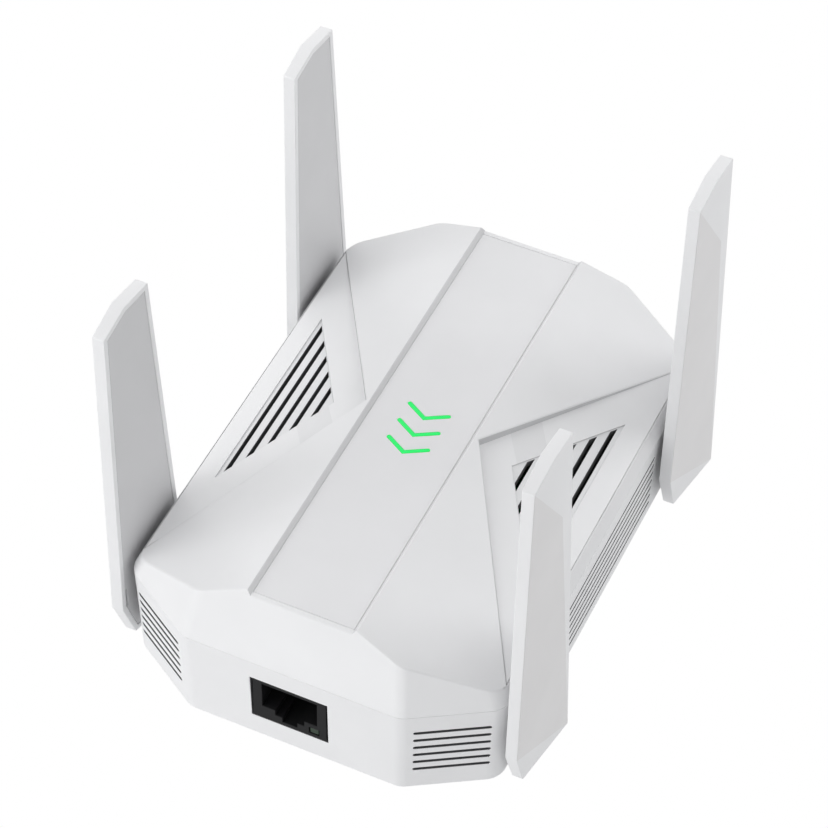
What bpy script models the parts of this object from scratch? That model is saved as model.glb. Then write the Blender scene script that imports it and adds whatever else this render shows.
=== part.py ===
"""Wall-plug Wi-Fi range extender with four fold-out blade antennas.

The case is modelled lying on its back: X across the case, Y along its length (the network
jack is at the -Y end) and Z out of the front face, with Z = 0 at the seam between the two
shells. The empty "wall_frame" then stands the whole thing up against a wall: its length
becomes world +Z, the front looks along world -Y, and the world origin is the centre of the
plug's seat, on the wall's surface.
"""

import math

import bmesh
import bpy
from mathutils import Matrix, Vector

MM = 0.001

# ---------------------------------------------------------------- driving dimensions
GAP = 0.3 * MM                  # clearance between touching pieces
FINE_GAP = 0.12 * MM            # clearance round the light lenses

HALF_WIDTH = 40.2 * MM          # case, at the seam
HALF_LENGTH = 59.0 * MM
END_HALF_WIDTH = 23.0 * MM      # flat end, between the corner facets
CORNER_Y = 48.4 * MM            # where a corner facet meets the long side
CORNER_BEVEL = 1.3 * MM
SIDE_CORNER_BEVEL = 2.6 * MM         # rounding of the eight upright corner edges

RIDGE_X = 11.4 * MM             # edge of the centre channel
RIDGE_Z = 14.7 * MM
SIDE_EDGE_X = 38.8 * MM         # lower edge of the sloping front faces
SIDE_EDGE_Z = 3.3 * MM
END_SLOPE = 0.355               # how far the end faces lean in, per unit of height
CORNER_TOP = (25.8 * MM, 53.3 * MM, 8.7 * MM)

WALL_DEPTH = 22.9 * MM          # straight walls, from the seam to the back edge
WALL_DRAFT = 0.7 * MM
BACK_Z = -29.0 * MM             # flat part of the back
BACK_SLOPE_RUN = 14.0 * MM      # width of the sloping rim round it
WALL_PLANE_Z = -35.3 * MM       # wall surface, where the plug's seat rests
COVER_THICKNESS = 1.8 * MM
SLOPE_THICKNESS = 2.8 * MM      # sloping front faces, which carry the recesses
TUB_THICKNESS = 2.0 * MM
SEAM_GAP = 0.2 * MM

CHANNEL_Z = 13.7 * MM           # visible top of the centre strip
STRIP_HALF_WIDTH = 10.6 * MM
STRIP_THICKNESS = 1.2 * MM
STRIP_HALF_LENGTH = 53.0 * MM

RECESS_APEX_X = 12.3 * MM       # triangular recess in each sloping face
RECESS_HALF_LENGTH = 45.3 * MM
RECESS_DEPTH = 1.8 * MM         # at the apex, falling almost to nothing at the side edge
RECESS_EDGE_STEP = 0.06 * MM

LOUVRE_X = (22.0 * MM, 24.65 * MM, 27.3 * MM, 29.95 * MM, 32.6 * MM)
LOUVRE_APEX_X = 19.7 * MM
LOUVRE_SPREAD = 1.66            # half length gained per unit of X
LOUVRE_FIELD_BASE = 34.0 * MM   # shallow triangle that the slots are cut through
LOUVRE_FIELD_DEPTH = 0.35 * MM
SLOT_WIDTH = 0.9 * MM

WALL_SLOT_HEIGHT = 0.78 * MM
WALL_SLOT_PITCH = 2.36 * MM
FIRST_WALL_SLOT_Z = -5.1 * MM
CORNER_SLOT_COUNT = 6
CORNER_SLOT_LENGTH = 15.0 * MM
SIDE_SLOT_COUNT = 7
SIDE_SLOT_LENGTH = 54.0 * MM

CHEVRON_Y = (0.9 * MM, -4.0 * MM, -8.9 * MM)   # vertices of the three light bars
CHEVRON_HALF_WIDTH = 4.3 * MM
CHEVRON_RISE = 2.5 * MM
CHEVRON_STROKE = 0.85 * MM

JACK_X = -0.7 * MM
JACK_WIDTH = 15.8 * MM
JACK_HEIGHT = 11.6 * MM
JACK_TOP_Z = -5.2 * MM
JACK_FACE_Y = -58.5 * MM
JACK_LENGTH = 19.0 * MM

BOARD_TOP_Z = -3.3 * MM
BOARD_THICKNESS = 1.6 * MM
BOARD_HALF_WIDTH = 24.0 * MM
BOARD_Y = (-56.3 * MM, 52.0 * MM)
POWER_BOARD_Z = -20.0 * MM      # top of the mains board
POWER_BOARD_HALF_WIDTH = 16.0 * MM
POWER_BOARD_Y = (-30.0 * MM, 36.0 * MM)

POST_AT = (28.0 * MM, 44.0 * MM)        # case screws
POST_RADIUS = 3.4 * MM
STANDOFF_AT = (20.6 * MM, 31.0 * MM)    # board screws
STANDOFF_RADIUS = 2.2 * MM

HINGE_Y = 38.85 * MM
HINGE_Z = -11.0 * MM
HINGE_HOLE_RADIUS = 4.8 * MM
BARREL_RADIUS = 4.4 * MM
BLADE_INNER_X = 41.25 * MM
# blade outline seen from the side, from its hinge: (Y, Z), anticlockwise
BLADE_OUTLINE = (
    (-11.7 * MM, -0.6 * MM),
    (-7.5 * MM, -11.7 * MM),
    (14.5 * MM, -19.9 * MM),
    (6.2 * MM, 75.8 * MM),
    (-2.5 * MM, 77.6 * MM),
    (-10.6 * MM, 76.1 * MM),
)
# how far out the outer face is at each corner of the outline
BLADE_RIM_X = (43.8 * MM, 43.6 * MM, 44.0 * MM, 43.85 * MM, 44.0 * MM, 43.8 * MM)
# the two raised points that the outer face is creased between: (X, Y, Z)
BLADE_CREST = (44.8 * MM, 1.2 * MM, 58.3 * MM)
PANEL_BORDER = 1.3 * MM

PRONG_SPACING = 12.7 * MM
PRONG_THICKNESS = 1.5 * MM
PRONG_WIDTH = 6.35 * MM
PRONG_LENGTH = 17.0 * MM

BUTTON_Z = -10.2 * MM
BUTTON_SIZE = (9.0 * MM, 4.2 * MM)

TINY = 1e-7
FAR = 0.2


# ---------------------------------------------------------------- scene and materials
def clear_scene():
    for thing in list(bpy.data.objects):
        bpy.data.objects.remove(thing, do_unlink=True)


def material(name, colour, roughness, metallic=0.0):
    mat = bpy.data.materials.new(name)
    mat.use_nodes = True
    shader = mat.node_tree.nodes["Principled BSDF"]
    shader.inputs["Base Color"].default_value = (*colour, 1.0)
    shader.inputs["Roughness"].default_value = roughness
    shader.inputs["Metallic"].default_value = metallic
    mat.diffuse_color = (*colour, 1.0)
    return mat


clear_scene()

WHITE = material("case_white", (0.80, 0.80, 0.81), 0.38)
GREY_PANEL = material("antenna_panel_grey", (0.62, 0.63, 0.64), 0.42)
STRIP_GREY = material("centre_strip_grey", (0.72, 0.72, 0.73), 0.36)
BLACK = material("moulded_black", (0.02, 0.02, 0.022), 0.45)
LENS_GREEN = material("light_lens_green", (0.05, 0.85, 0.30), 0.25)
BOARD_GREEN = material("board_green", (0.02, 0.16, 0.07), 0.40)
TIN = material("tinned_steel", (0.66, 0.67, 0.68), 0.30, 1.0)
STEEL = material("screw_steel", (0.55, 0.56, 0.58), 0.32, 1.0)
BRASS = material("plated_brass", (0.78, 0.66, 0.36), 0.28, 1.0)
NICKEL = material("nickel_plate", (0.72, 0.71, 0.68), 0.24, 1.0)
COPPER = material("copper", (0.72, 0.38, 0.22), 0.32, 1.0)
FERRITE = material("ferrite", (0.07, 0.07, 0.075), 0.60)
TAPE = material("winding_tape_yellow", (0.85, 0.66, 0.10), 0.45)
CAN_BLUE = material("capacitor_sleeve", (0.05, 0.10, 0.26), 0.35)
ALUMINIUM = material("aluminium", (0.80, 0.81, 0.82), 0.35, 1.0)
CERAMIC = material("resistor_ceramic", (0.86, 0.84, 0.78), 0.70)
COAX_GREY = material("coax_jacket", (0.20, 0.20, 0.21), 0.50)

wall_frame = bpy.data.objects.new("wall_frame", None)
bpy.context.scene.collection.objects.link(wall_frame)
wall_frame.rotation_euler = (math.radians(90), 0, 0)
wall_frame.location = (0, WALL_PLANE_Z, 0)


# ---------------------------------------------------------------- mesh helpers
def link(name, data, mat, parent, at):
    thing = bpy.data.objects.new(name, data)
    bpy.context.scene.collection.objects.link(thing)
    thing.parent = parent
    thing.location = at
    if mat is not None:
        data.materials.append(mat)
    return thing


def finish(name, bm, mat, parent=wall_frame, at=(0, 0, 0)):
    """Turn a bmesh into a named object whose faces point out."""
    bmesh.ops.recalc_face_normals(bm, faces=bm.faces)
    mesh = bpy.data.meshes.new(name)
    bm.to_mesh(mesh)
    bm.free()
    mesh.shade_smooth()
    mesh.set_sharp_from_angle(angle=math.radians(35))
    return link(name, mesh, mat, parent, at)


def cutter(name, bm, parent=wall_frame, at=(0, 0, 0)):
    tool = finish(name, bm, None, parent, at)
    tool.hide_render = True
    tool.display_type = "WIRE"
    return tool


def boolean(target, tool, operation="DIFFERENCE"):
    step = target.modifiers.new(tool.name, "BOOLEAN")
    step.operation = operation
    step.solver = "EXACT"
    step.object = tool


def add_box(bm, low, high):
    low, high = Vector(low), Vector(high)
    size = high - low
    place = Matrix.Translation((low + high) / 2) @ Matrix.Diagonal((*size, 1))
    return bmesh.ops.create_cube(bm, size=1.0, matrix=place)["verts"]


def add_rod(bm, start, end, radius, sides=20, end_radius=None):
    """A closed cylinder or cone from one point to another."""
    start, end = Vector(start), Vector(end)
    axis = end - start
    turn = Vector((0, 0, 1)).rotation_difference(axis).to_matrix().to_4x4()
    place = Matrix.Translation((start + end) / 2) @ turn
    bmesh.ops.create_cone(
        bm,
        cap_ends=True,
        segments=sides,
        radius1=radius,
        radius2=radius if end_radius is None else end_radius,
        depth=axis.length,
        matrix=place,
    )


def add_prism(bm, outline, low, high, axis="Z"):
    """Extrude a closed outline of (u, v) points along one axis."""
    order = {"X": lambda u, v, w: (w, u, v), "Y": lambda u, v, w: (v, w, u)}
    place = order.get(axis, lambda u, v, w: (u, v, w))
    bottom = [bm.verts.new(place(u, v, low)) for u, v in outline]
    top = [bm.verts.new(place(u, v, high)) for u, v in outline]
    bm.faces.new(reversed(bottom))
    bm.faces.new(top)
    for i in range(len(outline)):
        j = (i + 1) % len(outline)
        bm.faces.new((bottom[i], bottom[j], top[j], top[i]))


def box(name, low, high, mat, parent=wall_frame, at=(0, 0, 0), bevel=0.0):
    bm = bmesh.new()
    add_box(bm, low, high)
    if bevel:
        bmesh.ops.bevel(bm, geom=bm.edges[:], offset=bevel, segments=1, affect="EDGES")
    return finish(name, bm, mat, parent, at)


def rod(name, start, end, radius, mat, sides=20, parent=wall_frame, at=(0, 0, 0)):
    bm = bmesh.new()
    add_rod(bm, start, end, radius, sides)
    return finish(name, bm, mat, parent, at)


def plane_through(a, b, c):
    """A plane as (point, normal), its normal pointing away from the case's middle."""
    a, b, c = Vector(a), Vector(b), Vector(c)
    normal = (b - a).cross(c - a).normalized()
    inside = Vector((0, 0, -5 * MM))
    if normal.dot(a - inside) < 0:
        normal.negate()
    return a, normal


def moved_in(planes, distance):
    return [(point - normal * distance, normal) for point, normal in planes]


def level(z, sign):
    """A level plane, facing up or down."""
    return Vector((0, 0, z)), Vector((0, 0, sign))


def convex_solid(planes):
    """The solid that lies inside every plane."""
    bm = bmesh.new()
    add_box(bm, (-FAR, -FAR, -FAR), (FAR, FAR, FAR))
    for point, normal in planes:
        bmesh.ops.bisect_plane(
            bm,
            geom=bm.verts[:] + bm.edges[:] + bm.faces[:],
            dist=TINY,
            plane_co=point,
            plane_no=normal,
            clear_outer=True,
        )
        rim = [edge for edge in bm.edges if edge.is_boundary]
        if rim:
            bmesh.ops.contextual_create(bm, geom=rim)
    bmesh.ops.remove_doubles(bm, verts=bm.verts, dist=1e-6)
    return bm


def soften_upright_edges(bm, segments):
    """Round the corner edges that run mostly along Z, more widely beside the long sides."""
    for width, beside in ((CORNER_BEVEL, False), (SIDE_CORNER_BEVEL, True)):
        upright = []
        for edge in bm.edges:
            start, end = (v.co for v in edge.verts)
            run = end - start
            if abs(run.z) < 0.75 * run.length or len(edge.link_faces) != 2:
                continue
            if (abs(start.x) > 30 * MM) == beside and edge.calc_face_angle() < math.radians(75):
                upright.append(edge)
        bmesh.ops.bevel(
            bm, geom=upright, offset=width, segments=segments, affect="EDGES", profile=0.5
        )


def mirrored(points):
    """The four mirror images of a set of points in X and Y."""
    for sx in (-1, 1):
        for sy in (-1, 1):
            yield [(sx * x, sy * y, z) for x, y, z in points]


def corners(x, y):
    return [(sx * x, sy * y) for sx in (-1, 1) for sy in (-1, 1)]


# ---------------------------------------------------------------- front cover
def cover_walls():
    """End faces, side strips and corner facets of the front cover."""
    end_top = HALF_LENGTH - END_SLOPE * RIDGE_Z
    planes = []
    for sy in (-1, 1):
        foot = (END_HALF_WIDTH, sy * HALF_LENGTH, 0)
        other = (-END_HALF_WIDTH, sy * HALF_LENGTH, 0)
        planes.append(plane_through(foot, other, (0, sy * end_top, RIDGE_Z)))
    for sx in (-1, 1):
        planes.append(
            plane_through(
                (sx * HALF_WIDTH, 0, 0),
                (sx * HALF_WIDTH, HALF_LENGTH, 0),
                (sx * SIDE_EDGE_X, 0, SIDE_EDGE_Z),
            )
        )
    corner = [(END_HALF_WIDTH, HALF_LENGTH, 0), (HALF_WIDTH, CORNER_Y, 0), CORNER_TOP]
    planes += [plane_through(*points) for points in mirrored(corner)]
    return planes


def cover_slopes():
    """The two sloping front faces."""
    planes = []
    for sx in (-1, 1):
        ridge = (sx * RIDGE_X, 0, RIDGE_Z)
        ridge_end = (sx * RIDGE_X, HALF_LENGTH, RIDGE_Z)
        planes.append(plane_through(ridge, ridge_end, (sx * SIDE_EDGE_X, 0, SIDE_EDGE_Z)))
    return planes


def slope_z(x):
    """Height of a sloping front face at a distance X from the centre line."""
    return RIDGE_Z - (x - RIDGE_X) * (RIDGE_Z - SIDE_EDGE_Z) / (SIDE_EDGE_X - RIDGE_X)


def recess_z(x):
    """Height of the recessed triangle's floor."""
    depth = RECESS_DEPTH * (SIDE_EDGE_X - x) / (SIDE_EDGE_X - RECESS_APEX_X)
    return slope_z(x) - depth - RECESS_EDGE_STEP


def recess_cutter(side):
    """A wedge over the triangular recess, reaching past the side edge."""
    bm = bmesh.new()
    over = 4 * MM
    past_x = SIDE_EDGE_X + MM
    flare = RECESS_HALF_LENGTH / (SIDE_EDGE_X - RECESS_APEX_X)
    low = [(RECESS_APEX_X, 0, recess_z(RECESS_APEX_X))]
    low += [(past_x, s * flare * (past_x - RECESS_APEX_X), recess_z(past_x)) for s in (-1, 1)]
    floor = [bm.verts.new((side * x, y, z)) for x, y, z in low]
    roof = [bm.verts.new((side * x, y, slope_z(x) + over)) for x, y, z in low]
    bm.faces.new(floor)
    bm.faces.new(roof)
    for i in range(3):
        j = (i + 1) % 3
        bm.faces.new((floor[i], floor[j], roof[j], roof[i]))
    return cutter(f"recess_cutter_{'left' if side < 0 else 'right'}", bm)


def louvre_cutter(side):
    """Five parallel slots whose ends follow the sides of a triangle."""
    bm = bmesh.new()
    for x in LOUVRE_X:
        outline = []
        for u, s in ((-1, -1), (1, -1), (1, 1), (-1, 1)):
            edge_x = x + u * SLOT_WIDTH / 2
            outline.append((side * edge_x, s * LOUVRE_SPREAD * (edge_x - LOUVRE_APEX_X)))
        add_prism(bm, outline, 0.5 * MM, 12 * MM)
    return cutter(f"louvre_cutter_{'left' if side < 0 else 'right'}", bm)


def louvre_field_cutter(side):
    """The shallow triangular field round the slots."""
    bm = bmesh.new()
    tip = LOUVRE_APEX_X - 0.2 * MM
    ring = [(tip, 0)]
    ring += [(LOUVRE_FIELD_BASE, s * LOUVRE_SPREAD * (LOUVRE_FIELD_BASE - tip)) for s in (-1, 1)]
    floor = [bm.verts.new((side * x, y, recess_z(x) - LOUVRE_FIELD_DEPTH)) for x, y in ring]
    roof = [bm.verts.new((side * x, y, recess_z(x) + MM)) for x, y in ring]
    bm.faces.new(floor)
    bm.faces.new(roof)
    for i in range(3):
        j = (i + 1) % 3
        bm.faces.new((floor[i], floor[j], roof[j], roof[i]))
    return cutter(f"louvre_field_{'left' if side < 0 else 'right'}", bm)


def channel_cutter():
    """Room above the strip, with walls that lean out to the ridges, and the strip's pocket."""
    bm = bmesh.new()
    inner = STRIP_HALF_WIDTH + GAP
    flare = RIDGE_X + (RIDGE_X - inner) * 2
    over = RIDGE_Z + (RIDGE_Z - CHANNEL_Z) * 2
    profile = [(CHANNEL_Z, -inner), (over, -flare), (over, flare), (CHANNEL_Z, inner)]
    add_prism(bm, profile, -HALF_LENGTH * 1.2, HALF_LENGTH * 1.2, axis="Y")
    return cutter("channel_cutter", bm)


def strip_pocket_cutter():
    bm = bmesh.new()
    inner = STRIP_HALF_WIDTH + GAP
    length = STRIP_HALF_LENGTH + GAP
    floor = CHANNEL_Z - STRIP_THICKNESS - GAP
    add_box(bm, (-inner, -length, floor), (inner, length, CHANNEL_Z + MM))
    return cutter("strip_pocket_cutter", bm)


def chevron_outline(y, grow=0.0):
    """A V-shaped bar with blunt round ends, its vertex towards -Y."""
    half = CHEVRON_STROKE / 2 + grow
    reach = CHEVRON_HALF_WIDTH
    arm = Vector((reach, CHEVRON_RISE)).normalized()
    side = Vector((-arm.y, arm.x))
    mitre = half / side.y
    tip = Vector((reach, CHEVRON_RISE))
    nose = tip + arm * (half * 0.8)
    right = [
        Vector((0, -mitre)),
        tip - side * half,
        nose - side * half * 0.45,
        nose + side * half * 0.45,
        tip + side * half,
        Vector((0, mitre)),
    ]
    left = [Vector((-p.x, p.y)) for p in reversed(right[1:-1])]
    return [(p.x, p.y + y) for p in right + left]


def chevron_cutter(name, low, high):
    bm = bmesh.new()
    for y in CHEVRON_Y:
        add_prism(bm, chevron_outline(y, FINE_GAP), low, high)
    return cutter(name, bm)


def front_cover():
    bm = convex_solid(
        cover_walls() + cover_slopes() + [level(RIDGE_Z, 1), level(SEAM_GAP / 2, -1)]
    )
    soften_upright_edges(bm, 3)
    cover = finish("front_cover", bm, WHITE)

    ceiling = CHANNEL_Z - STRIP_THICKNESS - GAP - COVER_THICKNESS
    planes = moved_in(cover_walls(), COVER_THICKNESS) + moved_in(cover_slopes(), SLOPE_THICKNESS)
    hollow = cutter("cover_hollow", convex_solid(planes + [level(ceiling, 1), level(-6 * MM, -1)]))
    bosses = bmesh.new()
    for x, y in corners(*POST_AT):
        add_rod(bosses, (x, y, -9 * MM), (x, y, 12 * MM), 2.9 * MM, 16)
    boolean(hollow, cutter("cover_bosses", bosses))
    boolean(cover, hollow)

    boolean(cover, channel_cutter())
    boolean(cover, strip_pocket_cutter())
    for side in (-1, 1):
        boolean(cover, recess_cutter(side))
        boolean(cover, louvre_field_cutter(side))
        boolean(cover, louvre_cutter(side))
    boolean(cover, chevron_cutter("cover_chevron_cutter", 5 * MM, 20 * MM))

    holes = bmesh.new()
    for x, y in corners(*POST_AT):
        add_rod(holes, (x, y, -3 * MM), (x, y, 4.6 * MM), 1.45 * MM, 12)
    boolean(cover, cutter("cover_boss_holes", holes))


def centre_strip():
    top, bottom = CHANNEL_Z, CHANNEL_Z - STRIP_THICKNESS
    bm = bmesh.new()
    add_box(
        bm,
        (-STRIP_HALF_WIDTH, -STRIP_HALF_LENGTH, bottom),
        (STRIP_HALF_WIDTH, STRIP_HALF_LENGTH, top),
    )
    strip = finish("centre_strip", bm, STRIP_GREY)
    boolean(strip, chevron_cutter("strip_chevron_cutter", bottom - MM, top + MM))


def chevron_lenses():
    for number, y in enumerate(CHEVRON_Y, start=1):
        bm = bmesh.new()
        add_prism(bm, chevron_outline(y), 9.2 * MM, CHANNEL_Z)
        finish(f"chevron_lens_{number}", bm, LENS_GREEN)


def light_shroud():
    """A black frame that keeps the light of the lamps under the three lenses."""
    outer = (6.6 * MM, -13.0 * MM, 6.6 * MM)
    wall = 1.2 * MM
    low, high = BOARD_TOP_Z + GAP, 8.4 * MM
    bm = bmesh.new()
    add_box(bm, (-outer[0], outer[1], low), (outer[0], outer[2], high))
    shroud = finish("light_shroud", bm, BLACK)
    well = bmesh.new()
    inner = (outer[0] - wall, outer[1] + wall, outer[2] - wall)
    add_box(well, (-inner[0], inner[1], low - MM), (inner[0], inner[2], high + MM))
    boolean(shroud, cutter("shroud_well", well))


# ---------------------------------------------------------------- rear housing
def tub_planes():
    """Outer planes of the rear housing, from the seam to the flat of the back."""
    planes = []
    depth, inset = WALL_DEPTH, WALL_DRAFT

    def wall_and_rim(first, second, out):
        out = Vector((out[0], out[1], 0)).normalized()
        a, b = Vector((*first, 0)), Vector((*second, 0))
        down = Vector((0, 0, -depth)) - out * inset
        planes.append(plane_through(a, b, a + down))
        rim = a + down
        back = rim - out * BACK_SLOPE_RUN + Vector((0, 0, BACK_Z + depth))
        planes.append(plane_through(rim, b + down, back))

    for sy in (-1, 1):
        y = sy * HALF_LENGTH
        wall_and_rim((-END_HALF_WIDTH, y), (END_HALF_WIDTH, y), (0, sy))
    for sx in (-1, 1):
        x = sx * HALF_WIDTH
        wall_and_rim((x, -CORNER_Y), (x, CORNER_Y), (sx, 0))
        for sy in (-1, 1):
            first = (sx * END_HALF_WIDTH, sy * HALF_LENGTH)
            second = (x, sy * CORNER_Y)
            out = (HALF_LENGTH - CORNER_Y, HALF_WIDTH - END_HALF_WIDTH)
            wall_and_rim(first, second, (sx * out[0], sy * out[1]))
    planes.append((Vector((0, 0, BACK_Z)), Vector((0, 0, -1))))
    return planes


def wall_slot_cutter():
    """Slots through the long sides and through the four corner facets."""
    bm = bmesh.new()
    half = WALL_SLOT_HEIGHT / 2
    deep = 4 * MM
    for side in (-1, 1):
        for row in range(SIDE_SLOT_COUNT):
            z = FIRST_WALL_SLOT_Z - row * WALL_SLOT_PITCH
            x = sorted((side * (HALF_WIDTH - deep), side * (HALF_WIDTH + deep)))
            y = SIDE_SLOT_LENGTH / 2
            add_box(bm, (x[0], -y, z - half), (x[1], y, z + half))
    run = Vector((HALF_WIDTH - END_HALF_WIDTH, CORNER_Y - HALF_LENGTH, 0))
    middle = Vector((END_HALF_WIDTH, HALF_LENGTH, 0)) + run / 2
    for sx in (-1, 1):
        for sy in (-1, 1):
            centre = Vector((sx * middle.x, sy * middle.y, 0))
            angle = math.atan2(sy * run.y, sx * run.x)
            for row in range(CORNER_SLOT_COUNT):
                z = FIRST_WALL_SLOT_Z - row * WALL_SLOT_PITCH
                low = (-CORNER_SLOT_LENGTH / 2, -deep, z - half)
                high = (CORNER_SLOT_LENGTH / 2, deep, z + half)
                verts = add_box(bm, low, high)
                turn = Matrix.Translation(centre) @ Matrix.Rotation(angle, 4, "Z")
                bmesh.ops.transform(bm, matrix=turn, verts=verts)
    return cutter("wall_slot_cutter", bm)


def housing_inside():
    """Posts, board standoffs and ribs that rise from the back wall."""
    bm = bmesh.new()
    foot = WALL_PLANE_Z
    for x, y in corners(*POST_AT):
        add_rod(bm, (x, y, foot), (x, y, -0.3 * MM), POST_RADIUS, 16)
    for x, y in corners(*STANDOFF_AT):
        top = BOARD_TOP_Z - BOARD_THICKNESS - GAP
        add_rod(bm, (x, y, foot), (x, y, top), STANDOFF_RADIUS, 12)
    rib_top = POWER_BOARD_Z - BOARD_THICKNESS - GAP
    for y in (-24 * MM, 30 * MM):
        add_box(bm, (-12 * MM, y - MM, foot), (12 * MM, y + MM, rib_top))
    return bm


def housing_lip():
    """A low ring inside the seam that the front cover fits over."""
    lip_planes = moved_in(cover_walls(), COVER_THICKNESS + 0.35 * MM)
    lip_planes += moved_in(cover_slopes(), SLOPE_THICKNESS + 0.35 * MM)
    lip = cutter("housing_lip", convex_solid(lip_planes + [level(1.5 * MM, 1), level(-2 * MM, -1)]))
    inner_planes = moved_in(cover_walls(), COVER_THICKNESS + 1.25 * MM)
    inside = convex_solid(inner_planes + [level(4 * MM, 1), level(-5 * MM, -1)])
    boolean(lip, cutter("lip_inside", inside))
    return lip


def housing_openings():
    """Jack and button openings, hinge holes, plug window and the screws' deep bores."""
    bm = bmesh.new()
    margin = 0.35 * MM
    jack_low = (JACK_X - JACK_WIDTH / 2 - margin, -65 * MM, JACK_TOP_Z - JACK_HEIGHT - margin)
    jack_high = (JACK_X + JACK_WIDTH / 2 + margin, -54 * MM, JACK_TOP_Z + margin)
    add_box(bm, jack_low, jack_high)
    half_x, half_z = BUTTON_SIZE[0] / 2 + margin, BUTTON_SIZE[1] / 2 + margin
    add_box(bm, (-half_x, 54 * MM, BUTTON_Z - half_z), (half_x, 65 * MM, BUTTON_Z + half_z))
    for side in (-1, 1):
        for y in (-HINGE_Y, HINGE_Y):
            start = (side * 34 * MM, y, HINGE_Z)
            add_rod(bm, start, (side * 44 * MM, y, HINGE_Z), HINGE_HOLE_RADIUS, 24)
    add_box(bm, (-15.3 * MM, -10.3 * MM, -32 * MM), (15.3 * MM, 10.3 * MM, -25 * MM))
    for x, y in corners(*POST_AT):
        add_rod(bm, (x, y, -36 * MM), (x, y, -9.0 * MM), 2.5 * MM, 16)
    return bm


def rear_housing():
    bm = convex_solid(tub_planes() + [level(-SEAM_GAP / 2, 1)])
    soften_upright_edges(bm, 3)
    tub = finish("rear_housing", bm, WHITE)
    inner_planes = moved_in(tub_planes(), TUB_THICKNESS)
    hollow = cutter("tub_hollow", convex_solid(inner_planes + [level(6 * MM, 1)]))
    boolean(hollow, cutter("tub_inside", housing_inside()))
    boolean(tub, hollow)
    boolean(tub, wall_slot_cutter())
    boolean(tub, housing_lip(), "UNION")
    boolean(tub, cutter("tub_openings", housing_openings()))
    holes = bmesh.new()
    for x, y in corners(*POST_AT):
        add_rod(holes, (x, y, -12 * MM), (x, y, MM), 1.3 * MM, 12)
    for x, y in corners(*STANDOFF_AT):
        add_rod(holes, (x, y, -14 * MM), (x, y, MM), 0.95 * MM, 10)
    boolean(tub, cutter("tub_screw_holes", holes))


def screw(name, at, head_z, head_radius, shank_radius, tip_z, head_height, up):
    """A pan-head screw along Z with a cross recess; up is +1 where its head faces +Z."""
    x, y = at
    bm = bmesh.new()
    add_rod(bm, (x, y, head_z), (x, y, head_z + up * head_height), head_radius, 16)
    thing = finish(name, bm, STEEL)
    shank = bmesh.new()
    add_rod(shank, (x, y, head_z + up * 0.2 * MM), (x, y, tip_z), shank_radius, 12)
    boolean(thing, cutter(name + "_shank", shank), "UNION")
    cross = bmesh.new()
    reach, width = head_radius * 0.62, head_radius * 0.14
    low, high = sorted((head_z + up * head_height * 0.45, head_z + up * head_height * 1.6))
    outline = [(reach, -width), (reach, width), (width, width)]
    points = []
    for turn in range(4):
        angle = math.radians(90 * turn)
        for u, v in outline:
            px = u * math.cos(angle) - v * math.sin(angle)
            py = u * math.sin(angle) + v * math.cos(angle)
            points.append((x + px, y + py))
    add_prism(cross, points, low, high)
    boolean(thing, cutter(name + "_cross", cross))


def screws():
    """Four case screws from the back and two board screws from the front."""
    for number, at in enumerate(corners(*POST_AT), start=1):
        screw(f"case_screw_{number}", at, -9.3 * MM, 2.2 * MM, 1.1 * MM, 4.2 * MM, 1.7 * MM, -1)
    ends = [(STANDOFF_AT[0], STANDOFF_AT[1]), (-STANDOFF_AT[0], -STANDOFF_AT[1])]
    for number, at in enumerate(ends, start=1):
        seat = BOARD_TOP_Z + GAP
        screw(f"board_screw_{number}", at, seat, 1.9 * MM, 0.8 * MM, -13 * MM, 1.3 * MM, 1)


# ---------------------------------------------------------------- mains plug
def plug_carrier():
    """The raised seat that meets the wall, with a neck that fills the window in the back."""
    half_x, half_y = 19 * MM, 14 * MM
    low, high = WALL_PLANE_Z, BACK_Z - GAP
    bm = bmesh.new()
    verts = add_box(bm, (-half_x, -half_y, low), (half_x, half_y, high))
    upright = [
        e for v in verts for e in v.link_edges
        if abs(e.verts[0].co.z - e.verts[1].co.z) > MM
    ]
    upright = list(set(upright))
    bmesh.ops.bevel(bm, geom=upright, offset=4 * MM, segments=4, affect="EDGES", profile=0.5)
    carrier = finish("plug_carrier", bm, WHITE)
    neck = bmesh.new()
    add_box(neck, (-15 * MM, -10 * MM, high - MM), (15 * MM, 10 * MM, -24.4 * MM))
    boolean(carrier, cutter("carrier_neck", neck), "UNION")
    slots = bmesh.new()
    for side in (-1, 1):
        x = side * PRONG_SPACING / 2
        reach_x = PRONG_THICKNESS / 2 + GAP / 2
        reach_y = PRONG_WIDTH / 2 + GAP / 2
        add_box(slots, (x - reach_x, -reach_y, -50 * MM), (x + reach_x, reach_y, -20 * MM))
    boolean(carrier, cutter("carrier_slots", slots))


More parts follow.
